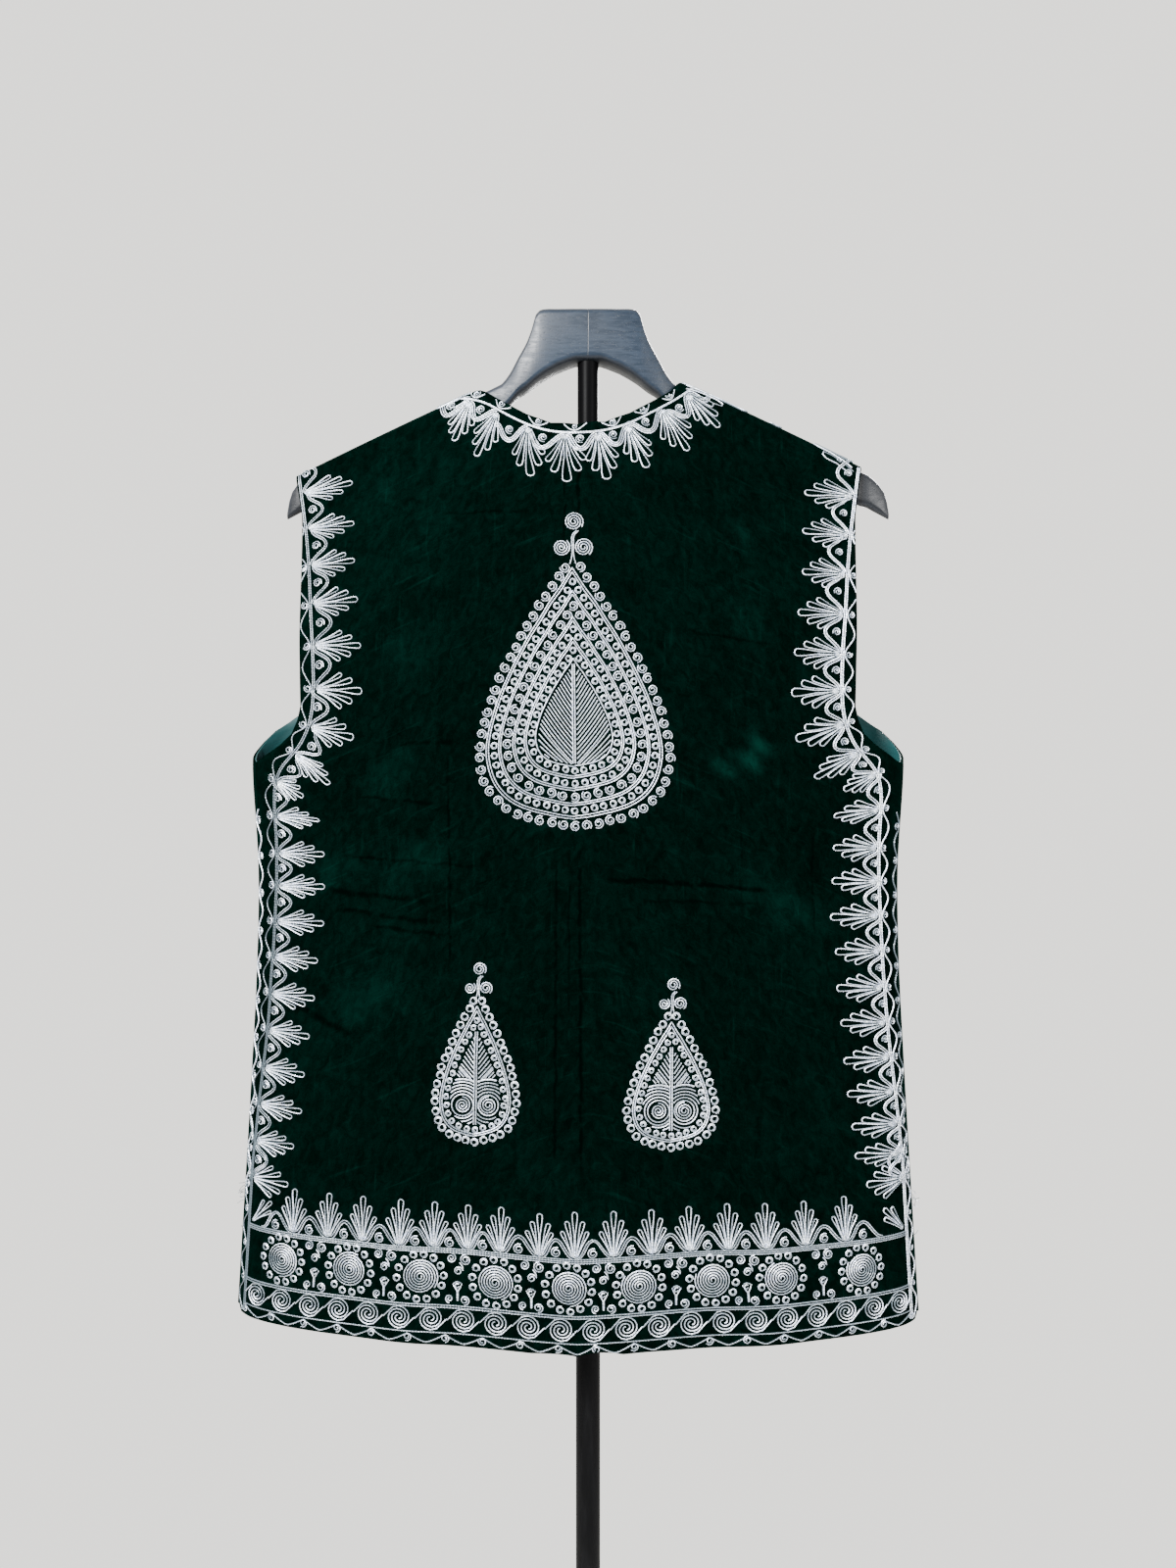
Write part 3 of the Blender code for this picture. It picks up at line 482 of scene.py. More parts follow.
THREAD = 0.00022
THREAD_STEP = 0.0011
THREAD_STEPS = 7
THREAD_WAYS = ((0.5, 1.0), (-0.6, 0.1), (-0.7, 0.6))
THREAD_RISES = (0.081, 0.084, 0.086, 0.0875, 0.089, 0.0915, 0.094, 0.061)

# How finely the cloth is worked, and how cords keep clear of a cut edge and of the shoulder's roll
PANEL_STEP = 0.0052
LINING_STEP = 0.0085
LINING_RIB = 0.0007
ROLL_END = 0.0150
CUT_CLEAR = 0.0009
ROLL_CLEAR = 0.0012
LIFT_SPREAD = 0.00028

# Where the pile is brushed pale: x, z, on the front, reach across and up, how much
CRUSHED = (
    (0.106, 1.201, False, 0.017, 0.010, 0.44),
    (0.121, 1.208, False, 0.018, 0.011, 0.52),
    (0.135, 1.216, False, 0.014, 0.009, 0.30),
    (0.128, 1.216, False, 0.012, 0.026, 0.25),
    (0.124, 1.304, False, 0.018, 0.022, 0.16),
    (0.124, 1.372, False, 0.016, 0.018, 0.14),
    (-0.134, 1.198, False, 0.040, 0.030, 0.12),
    (-0.121, 1.282, False, 0.030, 0.040, 0.10),
    (-0.178, 1.127, False, 0.030, 0.025, 0.16),
    (-0.114, 1.133, False, 0.045, 0.030, 0.16),
    (-0.150, 1.030, False, 0.050, 0.035, 0.10),
    (0.140, 1.110, False, 0.060, 0.030, 0.10),
    (-0.150, 1.402, False, 0.030, 0.020, 0.16),
    (0.140, 1.150, True, 0.040, 0.030, 0.18),
    (-0.120, 1.250, True, 0.030, 0.045, 0.16),
    (-0.090, 1.010, True, 0.045, 0.030, 0.14),
)

# Creases pressed in the pile, darkened with painted shade: ends (x, z and x, z), on the front, half width,
# how dark
PRESSED_CREASE_SHADE = (
    (-0.0150, 1.145, -0.0160, 0.905, False, 0.0016, 0.8),
    (0.0015, 1.150, 0.0030, 0.905, False, 0.0020, 1.0),
    (-0.0060, 1.150, -0.0065, 1.000, False, 0.0014, 0.5),
    (-0.0095, 1.445, -0.0090, 1.350, False, 0.0016, 0.9),
    (0.0010, 1.445, 0.0000, 1.350, False, 0.0018, 0.9),
    (-0.0929, 1.215, -0.0915, 1.050, False, 0.0016, 0.8),
    (0.1700, 1.160, 0.1720, 1.080, False, 0.0016, 0.6),
    (0.1170, 1.190, 0.1180, 1.110, False, 0.0014, 0.4),
    (0.0160, 1.120, 0.1520, 1.112, False, 0.0026, 1.0),
    (0.0450, 1.107, 0.1350, 1.103, False, 0.0016, 0.5),
    (-0.1850, 1.113, -0.1020, 1.106, False, 0.0030, 0.9),
    (-0.1780, 1.100, -0.0960, 1.090, False, 0.0024, 0.7),
    (-0.1500, 1.089, -0.0950, 1.082, False, 0.0020, 0.7),
    (-0.1620, 1.181, -0.0980, 1.175, False, 0.0018, 0.6),
    (-0.1680, 1.138, -0.0700, 1.131, False, 0.0018, 0.6),
    (-0.2130, 1.032, -0.1600, 1.010, False, 0.0034, 0.8),
    (-0.1020, 1.388, -0.0330, 1.386, False, 0.0018, 0.6),
    (-0.1380, 1.217, -0.0750, 1.222, False, 0.0026, 0.7),
    (0.0750, 1.300, 0.1420, 1.290, False, 0.0018, 0.5),
    (0.0600, 1.160, 0.1500, 1.172, True, 0.0026, 0.9),
    (-0.1500, 1.122, -0.0500, 1.110, True, 0.0026, 0.9),
    (-0.1000, 1.260, -0.0980, 1.040, True, 0.0018, 0.8),
    (0.0900, 1.210, 0.0920, 0.990, True, 0.0018, 0.8),
)

# Colours as linear light
VELVET_DARK = (0.00001, 0.00034, 0.00021)
VELVET_PALE = (0.00013, 0.0054, 0.0037)
WALL = (0.80, 0.79, 0.755)
WALL_LIGHT = 2.2
LAMPS = (
    # name, place, width, power
    ("key_lamp", (-1.3, -2.0, 2.6), 1.0, 800),
    ("fill_lamp", (1.9, -1.8, 1.5), 1.5, 240),
    ("far_lamp", (0.8, 2.3, 2.4), 1.8, 520),
)


# ---------------------------------------------------------------- cloth surface


def smooth_curve(at, rows):
    """A smooth curve through rows of (position, value), with its slope at each row from its neighbours."""
    place, value = np.array(rows, float).T
    slope = np.gradient(value, place)
    low = np.clip(np.searchsorted(place, at) - 1, 0, len(place) - 2)
    span = place[low + 1] - place[low]
    t = np.clip((at - place[low]) / span, 0, 1)
    rise = value[low] * (1 - t) ** 2 * (1 + 2 * t) + value[low + 1] * t**2 * (3 - 2 * t)
    return rise + span * (slope[low] * t * (1 - t) ** 2 - slope[low + 1] * t**2 * (1 - t))


def section_rows(column):
    index = SECTION_COLUMNS.index(column)
    return [(row[0], row[index]) for row in SECTIONS]


def arc_table():
    """Length round half of the nominal section against the angle from the centre back."""
    angle = np.linspace(0, math.pi, ARC_SAMPLES)
    depth = np.where(angle < math.pi / 2, NOMINAL_BACK, NOMINAL_FRONT)
    speed = np.hypot(NOMINAL_WIDTH * np.cos(angle), depth * np.sin(angle))
    step = (speed[1:] + speed[:-1]) / 2 * np.diff(angle)
    return angle, np.concatenate([[0], np.cumsum(step)])


ANGLES, ARCS = arc_table()


def u_of_angle(angle):
    return np.sign(angle) * np.interp(np.abs(angle), ANGLES, ARCS)


def angle_of_u(u):
    return np.sign(u) * np.interp(np.abs(u), ARCS, ANGLES)


def ridge_height(x_world):
    """Height of the shoulder line: it lies on the hanger, whose middle is at x = 0."""
    return RIDGE_TOP - RIDGE_SLOPE * (np.hypot(x_world, RIDGE_ROUND) - RIDGE_ROUND)


def ridge_forward(x_world):
    return TIP_FORWARD * (x_world / ARM_END) ** 2


def w_of_drop(drop):
    over = RIDGE_RADIUS * np.arccos(np.clip(1 - drop / RIDGE_RADIUS, -1, 1))
    return np.where(drop < RIDGE_RADIUS, over, drop + RIDGE_RADIUS * (math.pi / 2 - 1))


def drop_of_w(w):
    over = RIDGE_RADIUS * (1 - np.cos(np.clip(w / RIDGE_RADIUS, 0, math.pi / 2)))
    return np.where(w < RIDGE_RADIUS * math.pi / 2, over, w - RIDGE_RADIUS * (math.pi / 2 - 1))


def ease(t):
    t = np.clip(t, 0, 1)
    return t * t * (3 - 2 * t)


def fold_lift(x, z, front):
    """How far the folds push the cloth out at (x, z)."""
    lift = np.zeros_like(x)
    for side, x0, z0, x1, z1, half_width, height in FOLDS + FINE_FOLDS:
        along = np.array((x1 - x0, z1 - z0))
        length = np.hypot(*along)
        along = along / length
        run = (x - x0) * along[0] + (z - z0) * along[1]
        off = (x - x0) * along[1] - (z - z0) * along[0]
        beyond = np.maximum(0, np.maximum(-run, run - length))
        shape = np.exp(-((off / half_width) ** 2) - (beyond / (2 * half_width)) ** 2)
        lift += height * shape * (front if side == "front" else ~front)
    return lift


def surface(u, w):
    """Points of the cloth's outer face before its folds, and how far the folds lift them."""
    angle = angle_of_u(u)
    side, facing = np.sin(angle), np.cos(angle)
    drop = drop_of_w(w)
    half = NOMINAL_WIDTH
    for _ in range(3):
        x = half * side + VEST_SHIFT
        z = ridge_height(x) - drop
        half = smooth_curve(z, section_rows("half_width"))
    x = half * side + VEST_SHIFT
    front = facing < 0
    rows = np.where(
        front, smooth_curve(z, section_rows("front")), smooth_curve(z, section_rows("back"))
    )
    roll = np.sin(np.clip(w / RIDGE_RADIUS, 0, math.pi / 2))
    edge = np.sin(math.pi / 2 * np.clip(np.abs(facing) / FOLD_EDGE, 0, 1))
    fall = ease(drop / FALL)
    depth = RIDGE_RADIUS * roll * edge + (rows - RIDGE_RADIUS) * np.abs(facing) * fall
    forward = ridge_forward(x) * (1 - ease((drop - FORWARD_FROM) / FORWARD_FALL))
    y = forward - np.sign(facing) * depth
    return np.stack([x, y, z], axis=-1), fold_lift(x - VEST_SHIFT, z, front) * fall


def cloth(points, lift):
    """World points at (u, w), moved out from the cloth's outer face by lift."""
    u, w = np.array(points, float).T
    here, folds = surface(u, w)
    across = surface(u + NORMAL_STEP, w)[0] - surface(u - NORMAL_STEP, w)[0]
    down = surface(u, w + NORMAL_STEP)[0] - surface(u, np.maximum(w - NORMAL_STEP, 0))[0]
    out = np.cross(down, across)
    out /= np.linalg.norm(out, axis=1)[:, None]
    return here + out * (folds + lift)[:, None]


def on_cloth(x, z, front=False):
    """(u, w) of the point at x from the middle of the waistcoat and height z."""
    half = float(smooth_curve(np.array(z), section_rows("half_width")))
    angle = math.asin(max(-1.0, min(1.0, x / half)))
    if front:
        angle = math.copysign(math.pi, x) - angle
    drop = float(ridge_height(x + VEST_SHIFT)) - z
    return float(u_of_angle(angle)), float(w_of_drop(max(drop, 0.0)))


def at_angle(angle, z):
    """(u, w) of the point at an angle round the body and height z."""
    half = float(smooth_curve(np.array(z), section_rows("half_width")))
    x = half * math.sin(angle) + VEST_SHIFT
    return float(u_of_angle(angle)), float(w_of_drop(float(ridge_height(x)) - z))


# ---------------------------------------------------------------- outlines in (u, w)


def columns():
    """Columns of points round the body, evenly by angle."""
    count = int(math.pi // COLUMN_STEP) + 1
    return np.linspace(-math.pi, math.pi, 2 * count + 1)


def rows():
    lowest = float(w_of_drop(RIDGE_TOP - HEM_BACK)) + ROW_STEP
    return np.concatenate([RIDGE_ROWS, np.arange(RIDGE_ROWS[-1] + ROW_STEP / 2, lowest, ROW_STEP)])


def between(start, end):
    """Points from start up to but not at end, evenly spaced, no farther apart than a row."""
    start, end = np.array(start), np.array(end)
    count = max(1, math.ceil(np.linalg.norm(end - start) / ROW_STEP))
    return [tuple(start + (end - start) * i / count) for i in range(count)]


def through(points):
    """Points along straight runs between the given ones."""
    line = []
    for start, end in zip(points, points[1:]):
        line += between(start, end)
    return line + [tuple(points[-1])]


def shoulder_edge(side, front):
    """The seam on top of the shoulder, from the neck out, half a gap down its own side."""
    inner, outer = (side * half for half in (NECK_HALF, SHOULDER_HALF))
    ends = [on_cloth(x, ridge_height(x + VEST_SHIFT), front)[0] for x in (inner, outer)]
    inside = [
        u
        for u in u_of_angle(columns())
        if min(ends) + POINT_CLEAR < u < max(ends) - POINT_CLEAR
    ]
    inside = sorted(inside, key=lambda u: abs(u - ends[0]))
    return [(float(u), GAP / 2) for u in (ends[0], *inside, ends[1])]


def hem_height(angle):
    """The hem is lowest at the centre back, level across the fronts and a little higher on the left."""
    turn = abs(angle) / SEAM_ANGLE
    tilt = HEM_TILT * math.sin(angle)
    if turn <= 1:
        share = math.sin(math.pi / 2 * min((turn / HEM_SWEEP) ** 1.25, 1.0))
        return HEM_BACK + (HEM_SIDE - HEM_BACK) * share - tilt
    return HEM_SIDE + (HEM_FRONT - HEM_SIDE) * (abs(angle) - SEAM_ANGLE) / (math.pi - SEAM_ANGLE) - tilt


def hem_edge(start, end, rise=0.0):
    """The hem between two angles, or a line that runs above it."""
    first, last = min(start, end) + ANGLE_CLEAR, max(start, end) - ANGLE_CLEAR
    inside = [a for a in columns() if first < a < last]
    inside.sort(reverse=start > end)
    return [at_angle(a, hem_height(a) + rise) for a in (start, *inside, end)]


def seam_angle(side, front):
    """Side seam, half a gap to its own side."""
    return side * (SEAM_ANGLE + (GAP if front else -GAP) / 2 / NOMINAL_BACK)


def side_seam(side, front, low, high):
    """The side seam from its low end up."""
    angle = seam_angle(side, front)
    return through([at_angle(angle, low), at_angle(angle, high)])


def armhole(side, front):
    """From the shoulder down to the side seam, without its ends."""
    cut = FRONT_ARMHOLE if front else BACK_ARMHOLE
    points = [on_cloth(side * x, z, front) for x, z in cut]
    if front:
        points.append(at_angle(side * math.pi / 2, ARMHOLE_SIDE))
    return points


def back_half(side):
    """Half of the back from the neck's middle out and round to the hem's middle."""
    neck = [on_cloth(side * x, z) for x, z in BACK_NECK]
    seam = side_seam(side, False, hem_height(side * SEAM_ANGLE) + CORNER_RISE, ARMHOLE_LOW)
    hem = hem_edge(side * (SEAM_ANGLE - CORNER_RISE / NOMINAL_BACK), 0.0)
    return neck + shoulder_edge(side, False) + armhole(side, False) + seam[::-1] + hem


def back_outline():
    right = back_half(1)
    left = back_half(-1)
    return right[:-1] + left[::-1][:-1]


def front_outline(side):
    """One front, from the shoulder's neck end round by the armhole, side, hem and front edge."""
    seam = side_seam(side, True, hem_height(side * SEAM_ANGLE) + CORNER_RISE, ARMHOLE_LOW)
    edge = [on_cloth(side * x, z, True) for x, z in FRONT_EDGE]
    low_angle = side * math.pi - math.asin(side * FRONT_EDGE[-1][0] / SECTIONS[0][1])
    hem = hem_edge(seam_angle(side, True) + side * CORNER_RISE / NOMINAL_FRONT, low_angle)
    hem[-1] = (hem[-1][0] - side * HEM_CORNER / 2, hem[-1][1])
    corner = (edge[-1][0], hem[-1][1] - HEM_CORNER)
    outer = shoulder_edge(side, True) + armhole(side, True) + seam[::-1] + hem
    return outer + [corner] + edge[::-1]


def level(points):
    """(u, w) points as (u, z), where z is the height: lengths are true there, away from the shoulder."""
    u, w = np.array(points, float).T
    return np.stack([u, surface(u, w)[0][:, 2]], axis=1)


def side_line(side, front):
    """The side border's double line, from the shoulder down to the hem band."""
    line = [on_cloth(side * x, z, front) for x, z in (FRONT_SIDE_LINE if front else BACK_SIDE_LINE)]
    for z in (*np.arange(SIDE_LINE_TOP, SIDE_LINE_LOW, -ROW_STEP), SIDE_LINE_LOW):
        share = SIDE_LINE_SHARE if front else float(np.interp(z, *zip(*BACK_SIDE_SHARES)))
        angle = math.pi - math.asin(share) if front else math.asin(share)
        line.append(at_angle(side * angle, float(z)))
    return line


def over_the_roll(outline):
    """The outline with a point wherever it crosses one of the rows over the shoulder's roll."""
    found = []
    for start, end in zip(outline, outline[1:] + outline[:1]):
        found.append(start)
        crossed = [row for row in RIDGE_ROWS if min(start[1], end[1]) < row < max(start[1], end[1])]
        for row in sorted(crossed, reverse=bool(start[1] > end[1])):
            share = (row - start[1]) / (end[1] - start[1])
            found.append((start[0] + (end[0] - start[0]) * share, row))
    return found


def place_in(points, outline):
    """Which points lie inside the outline, and how far each lies from its edge."""
    start = np.array(outline)
    run = np.roll(start, -1, axis=0) - start
    p = points[:, None, :]
    above = start[:, 1] > p[..., 1]
    crosses = above != (start[:, 1] + run[:, 1] > p[..., 1])
    climb = np.where(run[:, 1] == 0, 1.0, run[:, 1])
    at = run[:, 0] * (p[..., 1] - start[:, 1]) / climb + start[:, 0]
    inside = np.sum(crosses & (p[..., 0] < at), axis=1) % 2 == 1
    t = np.clip(np.sum((p - start) * run, axis=-1) / np.sum(run**2, axis=1), 0, 1)
    return inside, np.linalg.norm(p - (start + t[..., None] * run), axis=-1).min(axis=1)


# ---------------------------------------------------------------- cords on the flat cloth


def ring(centre, radius, turns=1.0, start=0.0, inner=None, points=13):
    """A turn of cord round a centre, or a coil that winds in to the inner radius."""
    share = np.linspace(0, 1, max(4, round(turns * points)) + 1)
    reach = radius if inner is None else radius + (inner - radius) * share
    angle = start + 2 * math.pi * turns * share
    return np.array(centre) + np.stack([reach * np.cos(angle), reach * np.sin(angle)], axis=1)


def coil(centre, radius, start=0.0, hand=1, points=12.37, pitch=CORD_PITCH):
    """A flat coil of cord, wound from its outside in."""
    turns = (radius - COIL_EYE) / pitch
    made = ring((0, 0), radius - CORD_WIDE / 2, turns, 0.0, COIL_EYE, points)
    made = turned_flat(made * (1, hand), start)
    return made + np.array(centre)


def turned_flat(points, angle):
    across, up = points[:, 0], points[:, 1]
    c, s = math.cos(angle), math.sin(angle)
    return np.stack([across * c - up * s, across * s + up * c], axis=1)


def finger(base, bend, tip, head):
    """One looped finger of a palmette: out along a bent stem, round its open head and back."""
    t = np.array((0.0, 0.26, 0.5, 0.68, 0.86))
    p = np.outer((1 - t) ** 2, base) + np.outer(2 * t * (1 - t), bend) + np.outer(t**2, tip)
    run = np.gradient(p, axis=0)
    run /= np.linalg.norm(run, axis=1)[:, None]
    side = np.stack([-run[:, 1], run[:, 0]], axis=1)
    wide = np.array((0.50, 0.58, 0.64, 0.66 * head, 0.94 * head))[:, None]
    ahead, aside = run[-1], side[-1]
    turn = np.linspace(0.3, math.pi - 0.3, 5)
    cap = (np.array(tip) - ahead * head) + np.outer(np.cos(turn), aside) * head
    cap += np.outer(np.sin(turn), ahead) * head
    return np.concatenate([p + side * wide, cap, (p - side * wide)[::-1]])


def fan_lines(spread=1.0):
    """The looped fingers of a palmette, standing at (0, 0)."""
    made = []
    for tip, bend, base, head in PALMETTE_FINGERS:
        for side in (-1, 1) if tip[0] else (1,):
            points = [(side * x * spread, y) for x, y in (base, bend, tip)]
            made.append(finger(*points, head))
    return made


def arch(pitch, cords, tall=1.0):
    """Close cords from the foot of the last palmette, over a coil and down to this one's foot."""
    line = curved(np.array(ARCH) * (pitch, tall) - (pitch, 0), 22)
    return [beside(line, off) for off in ARCH_CORDS[cords]]


def palmette(pitch, tall=1.0, spread=1.0, cords=2):
    """Looped fan with the arch and coil that lead to it, standing on its line at (0, 0)."""
    made = [line * (1, tall) for line in fan_lines(spread)]
    made += arch(pitch, cords, ARCH_RISE[cords])
    radius = ARCH_COIL[cords]
    made.append(coil(((COIL_AT[0] - 1) * pitch, COIL_AT[1]), radius, 1.2))
    return made


def curved(points, count):
    """A smooth line through a few points."""
    points = np.array(points, float)
    lengths = np.concatenate([[0], np.cumsum(np.linalg.norm(np.diff(points, axis=0), axis=1))])
    at = np.linspace(0, lengths[-1], count)
    return np.stack([smooth_curve(at, list(zip(lengths, points[:, i]))) for i in (0, 1)], axis=1)


def beside(line, off):
    """The line moved sideways, to its left where off is positive."""
    run = np.gradient(line, axis=0)
    run /= np.maximum(np.linalg.norm(run, axis=1), 1e-9)[:, None]
    return line + np.stack([-run[:, 1], run[:, 0]], axis=1) * off


class Border:
    """A line on the flat cloth, with the palmettes' side on its right where turn is 1."""

    def __init__(self, flat, turn, pitch=PALMETTE_PITCH):
        points = np.array(flat, float)
        for end, near in ((0, 1), (-1, -2)):
            run = points[end] - points[near]
            run *= 2 * TURN_LENGTH / np.linalg.norm(run)
            points = np.insert(points, 0 if end == 0 else len(points), points[end] + run, axis=0)
        self.points, self.turn = points, turn
        self.lengths = np.concatenate([[0], np.cumsum(np.linalg.norm(np.diff(points, axis=0), axis=1))])
        self.long = self.lengths[-1] - 4 * TURN_LENGTH
        self.count = round(self.long / pitch)
        self.pitch = self.long / self.count

    def along(self, at):
        at = np.asarray(at) + 2 * TURN_LENGTH
        return np.stack([np.interp(at, self.lengths, self.points[:, i]) for i in (0, 1)], axis=1)

    def lay(self, local):
        """Local points, in mm along the line and off it, as flat points of the cloth."""
        at, off = np.asarray(local, float).T * MM
        middle = np.mean([self.along(at + step) for step in SMOOTHING], axis=0)
        near = np.clip(at, 0, self.long)
        run = self.along(np.minimum(near + TURN_LENGTH, self.long))
        run -= self.along(np.maximum(near - TURN_LENGTH, 0))
        run /= np.linalg.norm(run, axis=1)[:, None]
        right = np.stack([run[:, 1], -run[:, 0]], axis=1)
        return middle + self.turn * right * off[:, None]


def strip_wave(at, coils, strip=STRIP):
    """How far off the double line the outer strip's wave runs: to the edge midway between two coils."""
    coils = np.array([2 * coils[0] - coils[1], *coils, 2 * coils[-1] - coils[-2]])
    phase = np.interp(at, coils, np.arange(len(coils)))
    return DOUBLE + 1.0 + strip * (0.5 - 0.5 * np.cos(2 * math.pi * phase)) ** 0.9


def border_lines(border, random, lead=0.0, places=None, coils=None, cords=2, leans=None, talls=None):
    """Everything on a border: its line, palmettes, and the wave and coils of its outer strip."""
    made = []
    pitch, long = border.pitch / MM, border.long / MM
    if places is None:
        places = (np.arange(border.count) + 0.5) * pitch
    if coils is None:
        coils = places
    at = np.arange(-lead, long + lead, LINE_STEP)
    made += [np.stack([at, np.full(len(at), off)], axis=1) for off in LINE_CORDS[cords]]
    before = [2 * places[0] - places[1], *places[:-1]]
    leans = leans or [0.0] * len(places)
    talls = talls or [PALMETTE_TALL[cords]] * len(places)
    for middle, last, lean, tall in zip(places, before, leans, talls):
        tall = random.normal(tall, 0.025)
        lean = random.normal(lean, 0.02)
        wide = PALMETTE_SPREAD[cords] * (middle - last) / PALMETTE_ROOM[cords]
        for line in palmette(middle - last, tall, wide, cords):
            made.append(turned_flat(line, lean) + (middle, 0.0))
    after = 2 * places[-1] - places[-2]
    made += [line + (after, 0.0) for line in arch(after - places[-1], cords, ARCH_RISE[cords])]
    radius, strip = STRIP_SIZES[cords]
    for middle in coils:
        made.append(coil((middle, -DOUBLE - radius - 0.6), radius, random.uniform(0, 6)))
    at = np.arange(-lead, long + lead, WAVE_STEP)
    made.append(np.stack([at, -strip_wave(at, coils, strip)], axis=1))
    return [border.lay(line) for line in made]


def seam_strip(side, tops, random):
    """A second strip of wave and coils, along the side seam, beside the back's side border."""
    made = []
    seam = side * float(u_of_angle(SEAM_ANGLE))
    places = np.arange(*tops)
    radius, strip = STRIP_SIZES[2]
    for place in places:
        centre = (SEAM_COIL_IN + radius, place + random.normal(0, 0.6))
        made.append(coil(centre, radius, random.uniform(0, 6)))
    at = np.arange(places[0] - 8.0, places[-1] + 10.0, WAVE_STEP)
    off = strip_wave(at, places, strip * SEAM_WAVE) - DOUBLE + SEAM_COIL_IN - 1.0
    made.append(np.stack([off, at], axis=1))
    return [np.stack([seam - side * line[:, 0] * MM, line[:, 1] * MM], axis=1) for line in made]


def hem_lay(local):
    """Local points, in mm round the body and above the hem, as flat points."""
    u, rise = np.asarray(local, float).T * MM
    angle = angle_of_u(u)
    return np.stack([u, np.array([hem_height(a) for a in angle]) + rise], axis=1)


def hem_lines(low, high, bases, rosettes, random):
    """Hem band between two places round the body, in mm: palmettes, rosettes, running scroll and wave."""
    made = []
    at = np.linspace(low, high, round((high - low) / LINE_STEP))
    for rise, cords in ((HEM_UPPER, HEM_CORDS), (HEM_LOWER, (-DOUBLE, DOUBLE))):
        made += [np.stack([at, np.full(len(at), rise + off)], axis=1) for off in cords]
    made.append(np.stack([at, np.full(len(at), HEM_SINGLE)], axis=1))
    for index, middle in enumerate(bases):
        pitch = bases[max(index, 1)] - bases[max(index, 1) - 1]
        tall = random.normal(HEM_TALL, 0.025)
        for line in palmette(pitch, tall, HEM_SPREAD):
            made.append(turned_flat(line, random.normal(0, 0.01)) + (middle, HEM_UPPER))
    after = 2 * bases[-1] - bases[-2]
    made += [line + (after, HEM_UPPER) for line in arch(after - bases[-1], 2, ARCH_RISE[2])]
    made.append(coil((bases[-1] * 0.53 + after * 0.47, HEM_UPPER + COIL_AT[1]), ARCH_COIL[2], 1.2))
    for middle in rosettes:
        made += rosette((middle + random.normal(0, 0.4), HEM_ROSETTE + random.normal(0, 0.3)), random)
    for left, right in zip(rosettes, rosettes[1:]):
        made += drop_column((left + right) / 2, random)
    count = round((high - low) / SCROLL_PITCH)
    step = (high - low) / count
    for index in range(count):
        made += scroll((low + (index + 0.5) * step, (HEM_LOWER + HEM_SINGLE) / 2), step)
    at = np.arange(low, high, WAVE_STEP)
    waves = round((high - low) / PALMETTE_PITCH * MM)
    step = (high - low) / waves
    dip = np.abs(((at - low) / step) % 1.0 - 0.5) * 2
    made.append(np.stack([at, HEM_SINGLE - 1.3 - (HEM_SINGLE - 3.4) * (1 - dip**1.3)], axis=1))
    for index in range(waves + 1):
        centre = (low + index * step, HEM_SINGLE - HEM_COIL - 0.5)
        made.append(coil(centre, HEM_COIL, random.uniform(0, 6)))
    return made


def edge_foot(place, inward, top, random):
    """The foot of an edge's border, beside a hem band: double line, wave, coils, palmette, corner fan."""
    pitch = (top - 14.0) / 4
    at = np.arange(0.4, top - 2.5, LINE_STEP)
    made = [np.stack([at, np.full(len(at), off)], axis=1) for off in (-DOUBLE, DOUBLE)]
    at = np.arange(0.4, top - 2.5, WAVE_STEP)
    made.append(np.stack([at, -strip_wave(at, (np.arange(4) + 0.5) * pitch)], axis=1))
    for index in range(4):
        centre = ((index + 0.5) * pitch, -DOUBLE - STRIP_COIL - 0.6)
        made.append(coil(centre, STRIP_COIL, random.uniform(0, 6)))
    if top > FOOT_PALMETTE_FROM:
        made += [line + (pitch / 2, 0.0) for line in palmette(pitch, 1.0)]
    fan = [turned_flat(line * CORNER_FAN, math.radians(45)) for line in fan_lines()[:3]]
    made += [line + (top - HEM_UPPER - 3.0, 3.0) for line in fan]
    turned = []
    for line in made:
        turned.append(np.stack([place + inward * line[:, 1], top - line[:, 0]], axis=1))
    return turned


def rosette(centre, random):
    """Coiled disc with a ring of looped petals."""
    made = [coil(centre, ROSETTE_DISC, random.uniform(0, 6), 1, 18.37, DISC_PITCH)]
    turn = random.uniform(0, 1)
    for index in range(ROSETTE_PETALS):
        angle = 2 * math.pi * (index + turn) / ROSETTE_PETALS
        reach = ROSETTE_DISC + PETAL + random.normal(0.1, 0.15)
        place = np.array(centre) + reach * np.array((math.cos(angle), math.sin(angle)))
        made.append(eyelet(place, PETAL, angle + math.pi))
    return made


def eyelet(centre, radius, start=0.0):
    """A ring of cord worked nearly twice round an open eye."""
    return ring(centre, radius - CORD_WIDE / 2, EYELET_TURNS, start, radius - 1.35 * CORD_WIDE, 10)


def drop_column(middle, random):
    """Between two rosettes: a pair of coils, a comma, a looped drop and a pair of coils."""
    made = []
    skew = random.normal(0, 0.4)
    for side in (-1, 1):
        made.append(coil((middle + side * 5.0, HEM_UPPER - 5.6 - side * 0.3), 4.4, 1.6, side))
        made.append(coil((middle + side * 5.2 + skew, HEM_LOWER + 5.2 - side * 0.3), 3.9, -1.6, side))
    made.append(coil((middle, HEM_UPPER - 14.0), 3.6, 0.4))
    stem = ((3.0, HEM_UPPER - 13.4), (2.6, HEM_UPPER - 10.6), (0.6, HEM_UPPER - 8.2))
    made.append(curved(np.array(stem) + (middle, 0), 4))
    drop = ((middle, HEM_LOWER + 4.4), (middle, HEM_LOWER + 11.0), (middle + skew, HEM_LOWER + 17.8))
    made += [finger(*drop, 3.2), coil((middle + skew, HEM_LOWER + 14.5), 2.3, 1.0)]
    return made


